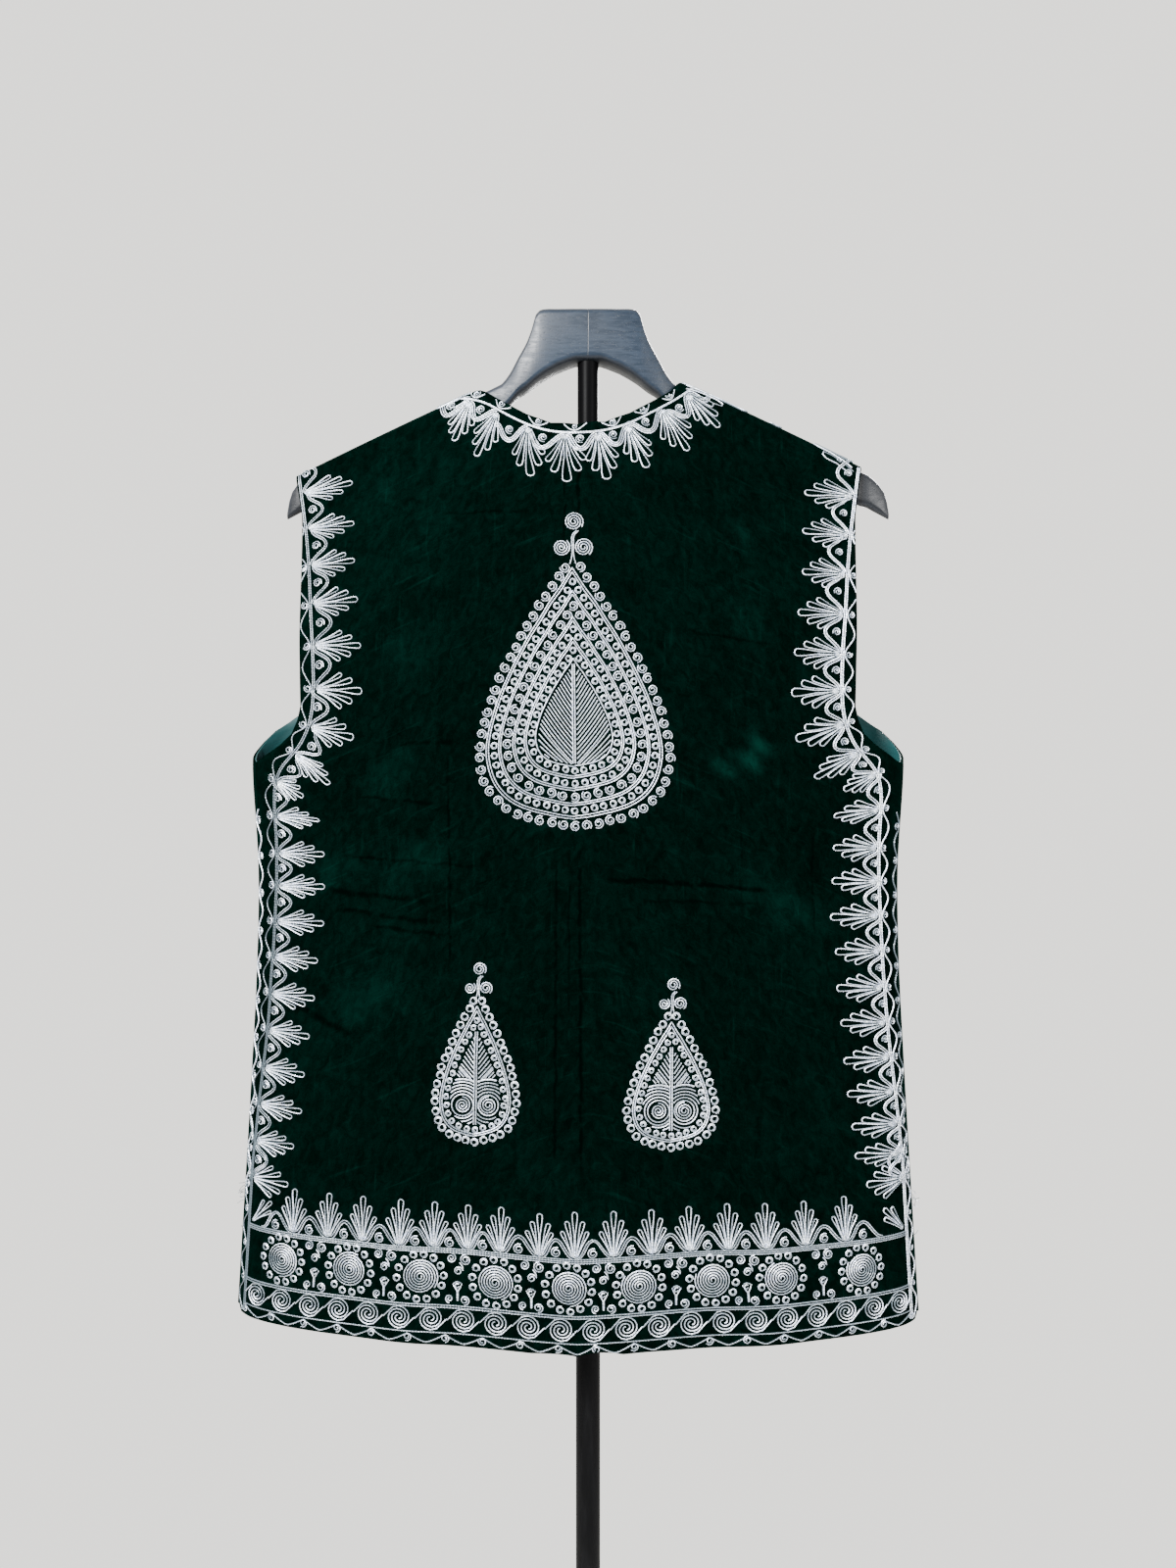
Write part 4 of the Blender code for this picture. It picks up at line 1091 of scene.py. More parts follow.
def scroll(centre, step):
    """One coil of the running scroll: two cords wound together, each led on to the next coil."""
    made = []
    start = math.pi / 2
    for side in (1, -1):
        arm = ring((0, 0), SCROLL_RADIUS, 1.45, 0.0, 1.5, 15) * (1, -1)
        arm = turned_flat(arm, start)
        lead = curved(((-step / 2, -0.2), (-step * 0.36, 3.4), (-step * 0.2, SCROLL_RADIUS - 1.2)), 5)
        made.append(np.concatenate([lead, arm]) * side * (1, 0.93) + np.array(centre))
    return made


# ---------------------------------------------------------------- drop-shaped medallions


def drop_outline(width, height, count=160):
    """Right half of the drop, from its point down to the middle of its foot, in mm from the point."""
    rows = np.array(DROP_HALF) * (width / 2, -height)
    return curved(rows, count)


class Drop:
    """Half of a drop's outline and half of the leaf in its middle, with lines nested between them."""

    def __init__(self, width, height, leaf_width, leaf_height, leaf_foot, inset):
        self.outer = drop_outline(width, height)
        leaf = drop_outline(leaf_width, leaf_height)
        self.leaf = leaf + (0.0, leaf_height - height + leaf_foot)
        self.inset = inset

    def line(self, inset):
        share = inset / self.inset
        made = self.outer * (1 - share) + self.leaf * share
        made[[0, -1], 0] = 0.0
        return made


def spaced(line, step):
    """Points along a line, evenly spaced, near the step."""
    lengths = np.concatenate([[0], np.cumsum(np.linalg.norm(np.diff(line, axis=0), axis=1))])
    at = np.linspace(0, lengths[-1], max(2, round(lengths[-1] / step)) + 1)
    return np.stack([np.interp(at, lengths, line[:, i]) for i in (0, 1)], axis=1)


def both_halves(line):
    return [spaced(line, DROP_STEP), spaced(line, DROP_STEP) * (-1, 1)]


def row_of(line, pitch, radius, random, eyed, from_tip=0.0):
    """Coils or eyelets all round the drop, along a line nested in it and from its point."""
    made = []
    lengths = np.concatenate([[0], np.cumsum(np.linalg.norm(np.diff(line, axis=0), axis=1))])
    count = round(lengths[-1] / pitch - from_tip)
    at = np.linspace(from_tip * pitch, lengths[-1], count + 1)
    places = np.stack([np.interp(at, lengths, line[:, i]) for i in (0, 1)], axis=1)
    places = np.concatenate([places, (places * (-1, 1))[0 if from_tip else 1 : -1]])
    for place in places:
        place = place + random.normal(0, 0.2, 2)
        turn = random.uniform(0, 6)
        made.append(eyelet(place, radius, turn) if eyed else coil(place, radius, turn))
    return made


def within(line, polygon):
    """The first stretch of a line inside a polygon, or nothing."""
    inside, _ = place_in(line, polygon)
    if not inside.any():
        return None
    first = int(np.argmax(inside))
    after = np.flatnonzero(~inside[first:])
    last = first + int(after[0]) if len(after) else len(line)
    return line[first:last] if last - first > 2 else None


def feathers(edge, foot, rises, step, arc=None):
    """A centre vein, and close ribs up and out from it and from the leaf's foot to the leaf's edge."""
    leaf = np.concatenate([edge, (edge * (-1, 1))[-2:0:-1]])
    top, low = edge[0][1], edge[-1][1]
    made = [spaced(np.array(((off, top - 2), (off, low + 1.0))), 3.0) for off in (-0.8, 0.8)]
    wide = edge[:, 0].max()
    starts = []
    if not foot:
        starts = [(x, low - 0.1, x / wide) for x in np.arange(0.93 * wide, 1.6, -step * 1.12)]
    height = low + max(foot, 0.8)
    while height < top - 2.5:
        starts.append((1.3, height, 0.0))
        share = (height - low) / (top - low)
        height += step / math.cos(rises[1] + (rises[2] - rises[1]) * share)
    if arc:
        middle, level_y, reach = arc
        for x in np.arange(3.2, middle + 0.8 * reach, step * 1.2):
            starts.append((x, level_y + math.sqrt(reach**2 - (x - middle) ** 2) + 1.0, 0.0))
    for x, height, share in starts:
        tall = (height - low) / (top - low)
        rise = rises[1] + (rises[0] - rises[1]) * share + (rises[2] - rises[1]) * tall
        reach = np.linspace(0, 60, 100)
        bend = rise + 0.0045 * reach
        steps = np.stack([np.cos(bend), np.sin(bend)], axis=1) * (reach[1] - reach[0])
        out = np.cumsum(steps, axis=0) + (x, height)
        cut = within(out, leaf)
        if cut is not None and len(cut) > 3:
            cut = spaced(cut[:-1], 3.2)
            made += [cut, cut * (-1, 1)]
    return made


def volutes(edge, place, radius, arcs):
    """Two open spirals at a leaf's foot, with arcs of cord round them from the vein."""
    leaf = np.concatenate([edge, (edge * (-1, 1))[-2:0:-1]])
    made = []
    for side in (-1, 1):
        made.append(coil((side * place[0], place[1]), radius + 0.8, math.pi / 2, side, 14.3, VOLUTE_PITCH))
    for index in range(arcs):
        reach = radius + VOLUTE_PITCH * (index + 0.7)
        start = math.acos(max(-1.0, -(place[0] - 1.5) / reach))
        turn = np.linspace(start, -start, 50)
        arc = np.stack([place[0] + reach * np.cos(turn), place[1] + reach * np.sin(turn)], axis=1)
        over = within(arc, leaf)
        under = within(arc[::-1], leaf) if over is not None and len(over) < len(arc) - 2 else None
        for cut in (over, under):
            if cut is not None and len(cut) > 3:
                cut = spaced(cut, 2.2)
                made += [cut, cut * (-1, 1)]
    return made


def finial(size):
    """Three coils and their stem, over the point of a drop."""
    made = []
    for side in (-1, 1):
        made.append(coil((side * size * 1.06, 0.70 * size), size * 0.97, -side * 0.9, side, 14))
        low = ((side * 2.2, -0.9 * size), (side * 0.7, -0.2 * size), (side * 0.62, 1.2 * size))
        made.append(curved(low, 5))
    made.append(coil((0.15 * size, 3.20 * size), size, -0.6, 1, 14))
    top = ((-0.6, 1.2 * size), (-0.4, 1.9 * size), (0.40 * size, 2.35 * size))
    made += [curved(top, 4), curved(np.array(top) + (1.3, -0.2), 4)]
    return made


def large_drop(width, height, random):
    drop = Drop(width, height, *LARGE_LEAF, LARGE_LEAF_IN)
    made = []
    for inset, pitch, radius, eyed, from_tip in LARGE_ROWS:
        made += row_of(drop.line(inset), pitch, radius, random, eyed, from_tip)
    for inset in LARGE_LINES:
        made += both_halves(drop.line(inset))
    leaf = drop.line(LARGE_LEAF_IN)
    return made + feathers(leaf, 0.0, LEAF_RISES, LARGE_RIBS) + finial(LARGE_FINIAL)


def small_drop(width, height, random):
    inside = SMALL_LEAF_IN
    leaf_size = (width - 2 * inside, height - SMALL_LEAF_DOWN - inside)
    drop = Drop(width, height, *leaf_size, inside, inside)
    made = []
    for inset, pitch, radius, eyed, from_tip in SMALL_ROWS:
        made += row_of(drop.line(inset), pitch, radius, random, eyed, from_tip)
    for inset in SMALL_LINES:
        made += both_halves(drop.line(inset))
    out, foot, radius, arcs = VOLUTE
    leaf = drop.line(inside)
    made += volutes(leaf, (out, foot - height), radius, arcs)
    over = (out, foot - height, radius + VOLUTE_PITCH * VOLUTE_ROOM)
    made += feathers(leaf, foot + RIBS_OVER_VOLUTE, FEATHER_RISES, SMALL_RIBS, over)
    return made + finial(SMALL_FINIAL)


def drop_lines(name, random):
    """A medallion's cords as flat points: its point is under the three coils of its finial."""
    side, x, z_top, z_low, width, lean = DROPS[name]
    large = width > LARGE_FROM
    size, edge = (LARGE_FINIAL, LARGE_ROWS[0][2]) if large else (SMALL_FINIAL, SMALL_ROWS[0][2])
    height = (z_top - z_low) / MM - FINIAL_TALL * size - edge
    make = large_drop if large else small_drop
    made = []
    for line in make(width / MM - 2 * edge, height, random):
        across = x + line[:, 0] * MM + lean * (1 + line[:, 1] / height)
        z = z_low + (height + edge + line[:, 1]) * MM
        flat = [on_cloth(float(a), float(b), side == "front") for a, b in zip(across, z)]
        made.append(np.stack([np.array(flat)[:, 0], z], axis=1))
    return made


# ---------------------------------------------------------------- over the shoulder, and loose ends


def ridge_lines(rows, side, reach):
    """Cords that come over the shoulder seam: x from the neck's edge and w, in mm."""
    made = []
    for line in rows:
        x, w = np.array(line, float).T
        x = (NECK_HALF / MM + x * reach) * MM * side
        u = [on_cloth(float(a), float(ridge_height(a + VEST_SHIFT)))[0] for a in x]
        w = RIDGE_DOWN[0] + w * RIDGE_DOWN[1]
        made.append(level(np.stack([u, w * MM], axis=1)))
    return made


def thread_ends(random, material):
    """Loose thread ends that stand out from the side seams near the hem."""
    points, edges = [], []
    for side in (-1, 1):
        for height in THREAD_RISES:
            seam = side * float(u_of_angle(SEAM_ANGLE))
            foot = hem_lay([(seam / MM, height / MM)])
            start = cloth(unrolled(foot), THREAD)[0]
            aside, back, rise = (random.uniform(*ends) for ends in THREAD_WAYS)
            way = np.array((side * aside, back, rise))
            way /= np.linalg.norm(way)
            spot = start
            for _ in range(THREAD_STEPS):
                points.append(spot)
                spot = spot + way * random.uniform(0.5, 1.3) * THREAD_STEP
                way = way + random.normal(0, 0.35, 3)
                way /= np.linalg.norm(way)
            edges += [(len(points) - k - 2, len(points) - k - 1) for k in range(THREAD_STEPS - 1)]
    rows, faces = [], []
    for a, b in edges:
        run = points[b] - points[a]
        over = np.cross(run, (0.3, 0.9, 0.2))
        over *= THREAD / np.linalg.norm(over)
        across = np.cross(run, over)
        across *= THREAD / np.linalg.norm(across)
        first = len(rows)
        for end in (points[a], points[b]):
            rows += [end + over, end - 0.5 * over + across, end - 0.5 * over - across]
        for i in range(3):
            j = (i + 1) % 3
            faces.append((first + i, first + j, first + 3 + j, first + 3 + i))
        faces += [(first + 2, first + 1, first), (first + 3, first + 4, first + 5)]
    return mesh_piece("loose_threads", [tuple(r) for r in rows], faces, material)


# ---------------------------------------------------------------- pieces


def mesh_piece(name, points, faces, material):
    mesh = bpy.data.meshes.new(name)
    mesh.from_pydata([tuple(point) for point in points], [], faces)
    mesh.materials.append(material)
    piece = bpy.data.objects.new(name, mesh)
    bpy.context.scene.collection.objects.link(piece)
    return piece


def finished(piece):
    """The piece as a plain mesh, with its modifiers worked into it."""
    bpy.context.view_layer.update()
    graph = bpy.context.evaluated_depsgraph_get()
    mesh = bpy.data.meshes.new_from_object(piece.evaluated_get(graph))
    piece.modifiers.clear()
    old, piece.data = piece.data, mesh
    bpy.data.meshes.remove(old)
    mesh.name = piece.name
    return piece


def put(piece, body, nodes):
    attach(piece, body)
    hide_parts(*nodes)
    return piece


def cloth_lattice(outline, step):
    """Points and triangles that fill a cut piece."""
    lines = []
    for start, end in zip(outline, outline[1:] + outline[:1]):
        count = max(1, math.ceil(math.dist(start, end) / step))
        lines += [np.array(start) + (np.array(end) - start) * i / count for i in range(count)]
    edge = np.array(lines)
    across = np.arange(edge[:, 0].min(), edge[:, 0].max(), step)
    fine = np.arange(step * 0.4, ROLL_END, step * 0.4)
    down = np.concatenate([fine, np.arange(ROLL_END + step / 2, edge[:, 1].max(), step)])
    grid = np.stack(np.meshgrid(across, down, indexing="ij"), axis=-1).reshape(-1, 2)
    parts = np.array_split(grid, max(1, len(grid) // 2000))
    found = [place_in(part, edge) for part in parts]
    keep = np.concatenate([inside & (clear > step * 0.45) for inside, clear in found])
    points = [Vector(point) for point in np.concatenate([edge, grid[keep]])]
    loop = list(range(len(edge)))
    flat, _, faces, *_ = delaunay_2d_cdt(points, [], [loop], 1, 1e-7)
    return np.array(flat), faces, len(edge)


def cloth_shell(name, outline, low, high, step, material):
    """A cut piece of cloth laid on the body: two faces, a rim between, and its rim's edges eased."""
    flat, faces, edge = cloth_lattice(outline, step)
    count = len(flat)
    walls = [tuple(face) for face in faces]
    walls += [tuple(i + count for i in reversed(face)) for face in faces]
    walls += [(i, (i + 1) % edge, (i + 1) % edge + count, i + count) for i in range(edge)]
    points = np.concatenate([cloth(flat, low), cloth(flat, high)])
    piece = mesh_piece(name, points, walls, material)
    mesh = piece.data
    cut = mesh.uv_layers.new(name="cut")
    corners = np.zeros(len(mesh.loops), int)
    mesh.loops.foreach_get("vertex_index", corners)
    cut.data.foreach_set("uv", np.concatenate([flat, flat])[corners].astype(np.float32).ravel())
    shape = bmesh.new()
    shape.from_mesh(mesh)
    bmesh.ops.recalc_face_normals(shape, faces=shape.faces)
    shape.to_mesh(mesh)
    shape.free()
    mesh.shade_smooth()
    rim = piece.modifiers.new("eased rim", "BEVEL")
    rim.width, rim.segments, rim.limit_method = (high - low) * 0.36, 2, "ANGLE"
    rim.angle_limit = math.radians(55)
    return finished(piece)


def signed_volume(mesh):
    mesh.calc_loop_triangles()
    points = np.empty(len(mesh.vertices) * 3)
    mesh.vertices.foreach_get("co", points)
    faces = np.empty(len(mesh.loop_triangles) * 3, int)
    mesh.loop_triangles.foreach_get("vertices", faces)
    return float(np.linalg.det(points.reshape(-1, 3)[faces.reshape(-1, 3)]).sum())


def cord_tree(material):
    """Sweeps a flat-bottomed cord along each line of points, its round side to the cloth's outside."""
    tree = bpy.data.node_groups.new("couched cord", "GeometryNodeTree")
    sizes = (("Wide", CORD_WIDE * MM), ("High", CORD_HIGH * MM), ("Under", CORD_UNDER * MM))
    tree.interface.new_socket("Lines", in_out="INPUT", socket_type="NodeSocketGeometry")
    for label, size in sizes:
        socket = tree.interface.new_socket(label, in_out="INPUT", socket_type="NodeSocketFloat")
        socket.default_value = size
    tree.interface.new_socket("Cord", in_out="OUTPUT", socket_type="NodeSocketGeometry")

    def node(kind, settings=None, **links):
        made = tree.nodes.new(kind)
        for key, value in (settings or {}).items():
            setattr(made, key, value)
        for key, value in links.items():
            socket = next(s for s in made.inputs if s.name == key.replace("_", " ") and s.enabled)
            if isinstance(value, bpy.types.NodeSocket):
                tree.links.new(value, socket)
            else:
                socket.default_value = value
        return made

    given = node("NodeGroupInput")
    lines = node("GeometryNodeMeshToCurve", Mesh=given.outputs["Lines"])
    facing = node("GeometryNodeInputNamedAttribute", {"data_type": "FLOAT_VECTOR"}, Name="facing")
    faced = node(
        "GeometryNodeSetCurveNormal",
        {"mode": "FREE"},
        Curve=lines.outputs["Curve"],
        Normal=facing.outputs["Attribute"],
    )
    place = node("GeometryNodeSplineParameter")
    run = node(
        "GeometryNodeStoreNamedAttribute",
        {"data_type": "FLOAT", "domain": "POINT"},
        Geometry=faced.outputs["Curve"],
        Name="along",
        Value=place.outputs["Length"],
    )
    kite = node(
        "GeometryNodeCurvePrimitiveQuadrilateral",
        {"mode": "KITE"},
        Width=given.outputs["Wide"],
        Bottom_Height=given.outputs["Under"],
        Top_Height=given.outputs["High"],
    )
    round_it = node("GeometryNodeSplineParameter")
    section = node(
        "GeometryNodeStoreNamedAttribute",
        {"data_type": "FLOAT", "domain": "POINT"},
        Geometry=kite.outputs["Curve"],
        Name="around",
        Value=round_it.outputs["Factor"],
    )
    # Height across the cord's section, stored as crown: the cord's finish paints shade where it is low,
    # towards the cloth
    spot = node("ShaderNodeSeparateXYZ", Vector=node("GeometryNodeInputPosition").outputs["Position"])
    share = node("ShaderNodeMath", {"operation": "DIVIDE"})
    tree.links.new(spot.outputs["Y"], share.inputs[0])
    tree.links.new(given.outputs["High"], share.inputs[1])
    crowned = node(
        "GeometryNodeStoreNamedAttribute",
        {"data_type": "FLOAT", "domain": "POINT"},
        Geometry=section.outputs["Geometry"],
        Name="crown",
        Value=share.outputs["Value"],
    )
    swept = node(
        "GeometryNodeCurveToMesh",
        Curve=run.outputs["Geometry"],
        Profile_Curve=crowned.outputs["Geometry"],
        Fill_Caps=True,
    )
    smooth = node("GeometryNodeSetShadeSmooth", Geometry=swept.outputs["Mesh"])
    real = node("GeometryNodeRealizeInstances", Geometry=smooth.outputs["Geometry"])
    dressed = node("GeometryNodeSetMaterial", Geometry=real.outputs["Geometry"], Material=material)
    out = node("NodeGroupOutput")
    tree.links.new(dressed.outputs["Geometry"], out.inputs["Cord"])
    return tree


def unrolled(points):
    """Flat points as (u, w)."""
    u, z = np.asarray(points, float).T
    x = np.sin(angle_of_u(u)) * smooth_curve(z, section_rows("half_width"))
    w = w_of_drop(np.maximum(ridge_height(x + VEST_SHIFT) - z, 0))
    return np.stack([u, w], axis=1)


def kept_runs(line, outline):
    """The stretches of a line that lie on the cut piece, clear of its edge."""
    inside, clear = place_in(line, outline)
    good = inside & (clear > CUT_CLEAR) & (line[:, 1] > ROLL_CLEAR)
    runs, start = [], None
    for index, fine in enumerate([*good, False]):
        if fine and start is None:
            start = index
        if not fine and start is not None:
            if index - start > 2:
                runs.append(line[start:index])
            start = None
    return runs


def cord_piece(name, lines, outline, random, tree, material):
    """All the cords of one embroidered piece, laid on the cloth and swept."""
    flat, ends = [], []
    for line in lines:
        for run in kept_runs(unrolled(line), outline):
            flat.append(run)
            ends.append(len(run))
    lifts = [np.full(count, random.uniform(0, LIFT_SPREAD)) for count in ends]
    tints = [np.full(count, random.uniform(0, 1)) for count in ends]
    points = np.concatenate(flat)
    lift = CORD_LIFT * MM + np.concatenate(lifts)
    low, high = cloth(points, lift), cloth(points, lift + MM)
    edges, first = [], 0
    for count in ends:
        edges += [(first + i, first + i + 1) for i in range(count - 1)]
        first += count
    mesh = bpy.data.meshes.new(name)
    mesh.from_pydata(low.tolist(), edges, [])
    facing = mesh.attributes.new("facing", "FLOAT_VECTOR", "POINT")
    facing.data.foreach_set("vector", ((high - low) / MM).astype(np.float32).ravel())
    tint = mesh.attributes.new("tint", "FLOAT", "POINT")
    tint.data.foreach_set("value", np.concatenate(tints).astype(np.float32))
    mesh.materials.append(material)
    piece = bpy.data.objects.new(name, mesh)
    bpy.context.scene.collection.objects.link(piece)
    sweep = piece.modifiers.new("couched cord", "NODES")
    sweep.node_group = tree
    return finished(piece)


# ---------------------------------------------------------------- stand pieces


def lathed(name, profile, sides, material):
    """A closed profile of (radius, height), running down on the outside, turned about the pole."""
    rings = [(r, z) for r, z in profile]
    points, faces, index = [], [], []
    for r, z in rings:
        if r < 1e-6:
            index.append([len(points)] * sides)
            points.append((0, 0, z))
        else:
            index.append(list(range(len(points), len(points) + sides)))
            turn = np.arange(sides) * 2 * math.pi / sides
            points += [(r * math.cos(a), r * math.sin(a), z) for a in turn]
    closed = rings[0][0] > 1e-6
    pairs = list(zip(index, index[1:])) + ([(index[-1], index[0])] if closed else [])
    for upper, lower in pairs:
        for i in range(sides):
            j = (i + 1) % sides
            face = list(dict.fromkeys((upper[i], lower[i], lower[j], upper[j])))
            if len(face) > 2:
                faces.append(face)
    piece = mesh_piece(name, points, faces, material)
    if signed_volume(piece.data) < 0:
        piece.data.flip_normals()
    piece.data.set_sharp_from_angle(angle=math.radians(35))
    return piece


def rounded(profile, radii):
    """The profile with its corners rounded: a radius for each point, 0 to leave it sharp."""
    made = []
    count = len(profile)
    for i, (point, radius) in enumerate(zip(profile, radii)):
        if not radius:
            made.append(point)
            continue
        here = np.array(point, float)
        before = np.array(profile[i - 1], float) - here
        after = np.array(profile[(i + 1) % count], float) - here
        before /= np.linalg.norm(before)
        after /= np.linalg.norm(after)
        half = math.acos(float(np.clip(before @ after, -1, 1))) / 2
        back = radius / math.tan(half)
        for t in np.linspace(0, 1, 6):
            a, b = here + before * back, here + after * back
            made.append(tuple((1 - t) ** 2 * a + 2 * t * (1 - t) * here + t**2 * b))
    return made


def hanger_section(x, z_top, z_low, thick):
    """Rounded section of the hanger at x: a flat bar with round top and lower edges."""
    radius = min(thick / 2, RIDGE_RADIUS - UNDER)
    middle = float(ridge_forward(x))
    made = []
    for turn, centre in ((0, z_top - radius), (math.pi, z_low + radius)):
        for share in np.linspace(0, 1, 9):
            angle = turn + math.pi * share
            flat = (thick / 2 - radius) * float(np.clip(math.cos(angle) * 3, -1, 1))
            made.append((x, middle + flat + radius * math.cos(angle), centre + radius * math.sin(angle)))
    return made


def hanger_rows():
    arm = []
    for x in np.linspace(ARM_START, ARM_END, ARM_STEPS):
        top = float(ridge_height(x)) - UNDER
        arm.append((float(x), top, top - ARM_DEPTH, ARM_THICK))
    return [*HANGER_ROWS, *arm, *TIP_ROWS]


def make_hanger(material):
    rows = np.array(hanger_rows())
    along_arm, round_shoulder = np.linspace(0.055, 0.234, 46), np.linspace(0.03, 0.06, 14)
    at = np.unique(np.concatenate([rows[:, 0], along_arm, round_shoulder]))
    columns_at = [np.interp(at, rows[:, 0], rows[:, i]) for i in (1, 2, 3)]
    for i in (0, 1, 2):
        eased = smooth_curve(at, list(zip(rows[:, 0], rows[:, i + 1])))
        columns_at[i] = np.clip(eased, columns_at[i] - 0.0004, columns_at[i] + 0.0004)
    half = list(zip(at, *columns_at))
    other = [(-x, *rest) for x, *rest in reversed(half[1:])]
    sections = [hanger_section(*(float(v) for v in row)) for row in other + half]
    size = len(sections[0])
    points = [point for section in sections for point in section]
    faces = []
    for k in range(len(sections) - 1):
        for i in range(size):
            j = (i + 1) % size
            faces.append((k * size + i, k * size + j, (k + 1) * size + j, (k + 1) * size + i))
    faces.append(tuple(range(size))[::-1])
    faces.append(tuple(range((len(sections) - 1) * size, len(sections) * size)))
    piece = mesh_piece("hanger_head", points, faces, material)
    if signed_volume(piece.data) < 0:
        piece.data.flip_normals()
    piece.data.set_sharp_from_angle(angle=math.radians(40))
    return piece


# ---------------------------------------------------------------- finishes


class Value:
    """A number from a material's nodes, which can be added, multiplied and so on."""

    def __init__(self, paint, socket):
        self.paint, self.socket = paint, socket

    def maths(self, operation, *others):
        inputs = dict(enumerate((self, *others)))
        return self.paint.node("ShaderNodeMath", {"operation": operation}, inputs)

    def __add__(self, other):
        return self.maths("ADD", other)

    def __sub__(self, other):
        return self.maths("SUBTRACT", other)

    def __rsub__(self, other):
        return self.paint.node("ShaderNodeMath", {"operation": "SUBTRACT"}, {0: other, 1: self})

    def __mul__(self, other):
        return self.maths("MULTIPLY", other)

    def __pow__(self, other):
        return self.maths("POWER", other)

    __radd__, __rmul__ = __add__, __mul__

    def eased(self, low, high, to_low=0.0, to_high=1.0):
        """0 to 1, or the ends given, as the number goes from low to high."""
        inputs = {"Value": self, "From Min": low, "From Max": high, "To Min": to_low, "To Max": to_high}
        return self.paint.node("ShaderNodeMapRange", {"interpolation_type": "SMOOTHSTEP"}, inputs)


class Paint:
    """A material and the nodes that feed it."""

    def __init__(self, name, **fixed):
        self.material = bpy.data.materials.new(name)
        self.material.use_nodes = True
        self.tree = self.material.node_tree
        self.shader = self.tree.nodes["Principled BSDF"]
        for key, value in fixed.items():
            self.shader.inputs[key.replace("_", " ")].default_value = value

    def node(self, kind, settings=None, inputs=None, output=0):
        made = self.tree.nodes.new(kind)
        for key, value in (settings or {}).items():
            if key == "stops":
                ramp = made.color_ramp
                while len(ramp.elements) < len(value):
                    ramp.elements.new(0.5)
                for element, (place, colour) in zip(ramp.elements, value):
                    element.position = place
                    element.color = (*colour, 1)
            else:
                setattr(made, key, value)
        for key, value in (inputs or {}).items():
            if isinstance(key, str):
                socket = next(s for s in made.inputs if s.name == key and s.enabled)
            else:
                socket = made.inputs[key]
            if isinstance(value, Value):
                self.tree.links.new(value.socket, socket)
            else:
                socket.default_value = value
        return Value(self, made.outputs[output])

    def feed(self, name, value):
        self.tree.links.new(value.socket, self.shader.inputs[name])

    def attribute(self, name, output="Fac"):
        return self.node("ShaderNodeAttribute", {"attribute_name": name}, None, output)

    def place(self):
        return self.node("ShaderNodeTexCoord", None, None, "Object")

    def cut(self):
        return self.node("ShaderNodeUVMap", {"uv_map": "cut"})

    def scaled(self, vector, by, turn=0.0):
        inputs = {"Vector": vector, "Scale": by, "Rotation": (0, 0, turn)}
        return self.node("ShaderNodeMapping", None, inputs)

    def noise(self, vector, scale, detail=2.0, rough=0.5, twist=0.0):
        inputs = {"Vector": vector, "Scale": scale, "Detail": detail}
        inputs |= {"Roughness": rough, "Distortion": twist}
        return self.node("ShaderNodeTexNoise", None, inputs)

    def split(self, vector):
        made = self.node("ShaderNodeSeparateXYZ", None, {"Vector": vector})
        outputs = made.socket.node.outputs
        return [Value(self, outputs[i]) for i in range(3)]

    def mixed(self, share, first, second):
        settings = {"data_type": "RGBA"}
        made = self.node("ShaderNodeMix", settings)
        for socket, value in zip((0, 6, 7), (share, first, second)):
            if isinstance(value, Value):
                self.tree.links.new(value.socket, made.socket.node.inputs[socket])
            elif socket:
                made.socket.node.inputs[socket].default_value = (*value, 1)
            else:
                made.socket.node.inputs[socket].default_value = value
        return Value(self, made.socket.node.outputs[2])

    def vector(self, operation, first, second=None, output=0):
        inputs = {0: first} if second is None else {0: first, 1: second}
        return self.node("ShaderNodeVectorMath", {"operation": operation}, inputs, output)

    def bump(self, height, strength, distance):
        """Height in metres' worth of relief, worked into the surface's facing."""
        inputs = {"Strength": strength, "Distance": distance, "Height": height}
        made = self.node("ShaderNodeBump", None, inputs)
        self.feed("Normal", made)


def near_spot(paint, cut, spot):
    """How strongly a spot of the cloth is brushed: an uneven patch that fades out round its middle."""
    x, z, front, across, up, strength = spot
    off = paint.vector("SUBTRACT", cut, (*on_cloth(x, z, front), 0.0))
    off = paint.vector("MULTIPLY", off, (1 / across, 1 / up, 0.0))
    far = paint.vector("LENGTH", off, output=1)
    return far.eased(0.1, 1.0, strength, 0.0)


def crease_shade_line(paint, cut, wander, line):
    """Painted shade along a crease pressed in the pile between two points: 1 in its middle, 0 a short way
    off it.
    """
    x0, z0, x1, z1, front, half, depth = line
    start = np.array(on_cloth(x0, z0, front))
    run = np.array(on_cloth(x1, z1, front)) - start
    long = float(np.linalg.norm(run))
    run /= long
    off = paint.vector("SUBTRACT", cut, (*start, 0.0))
    along = paint.vector("DOT_PRODUCT", off, (*run, 0.0), 1)
    aside = paint.vector("DOT_PRODUCT", off, (-run[1], run[0], 0.0), 1)
    aside = (aside + wander).maths("ABSOLUTE").eased(0.0, half, depth, 0.0)
    return aside * (along * (along * -1.0 + long)).eased(0.0, 0.12 * long * long)


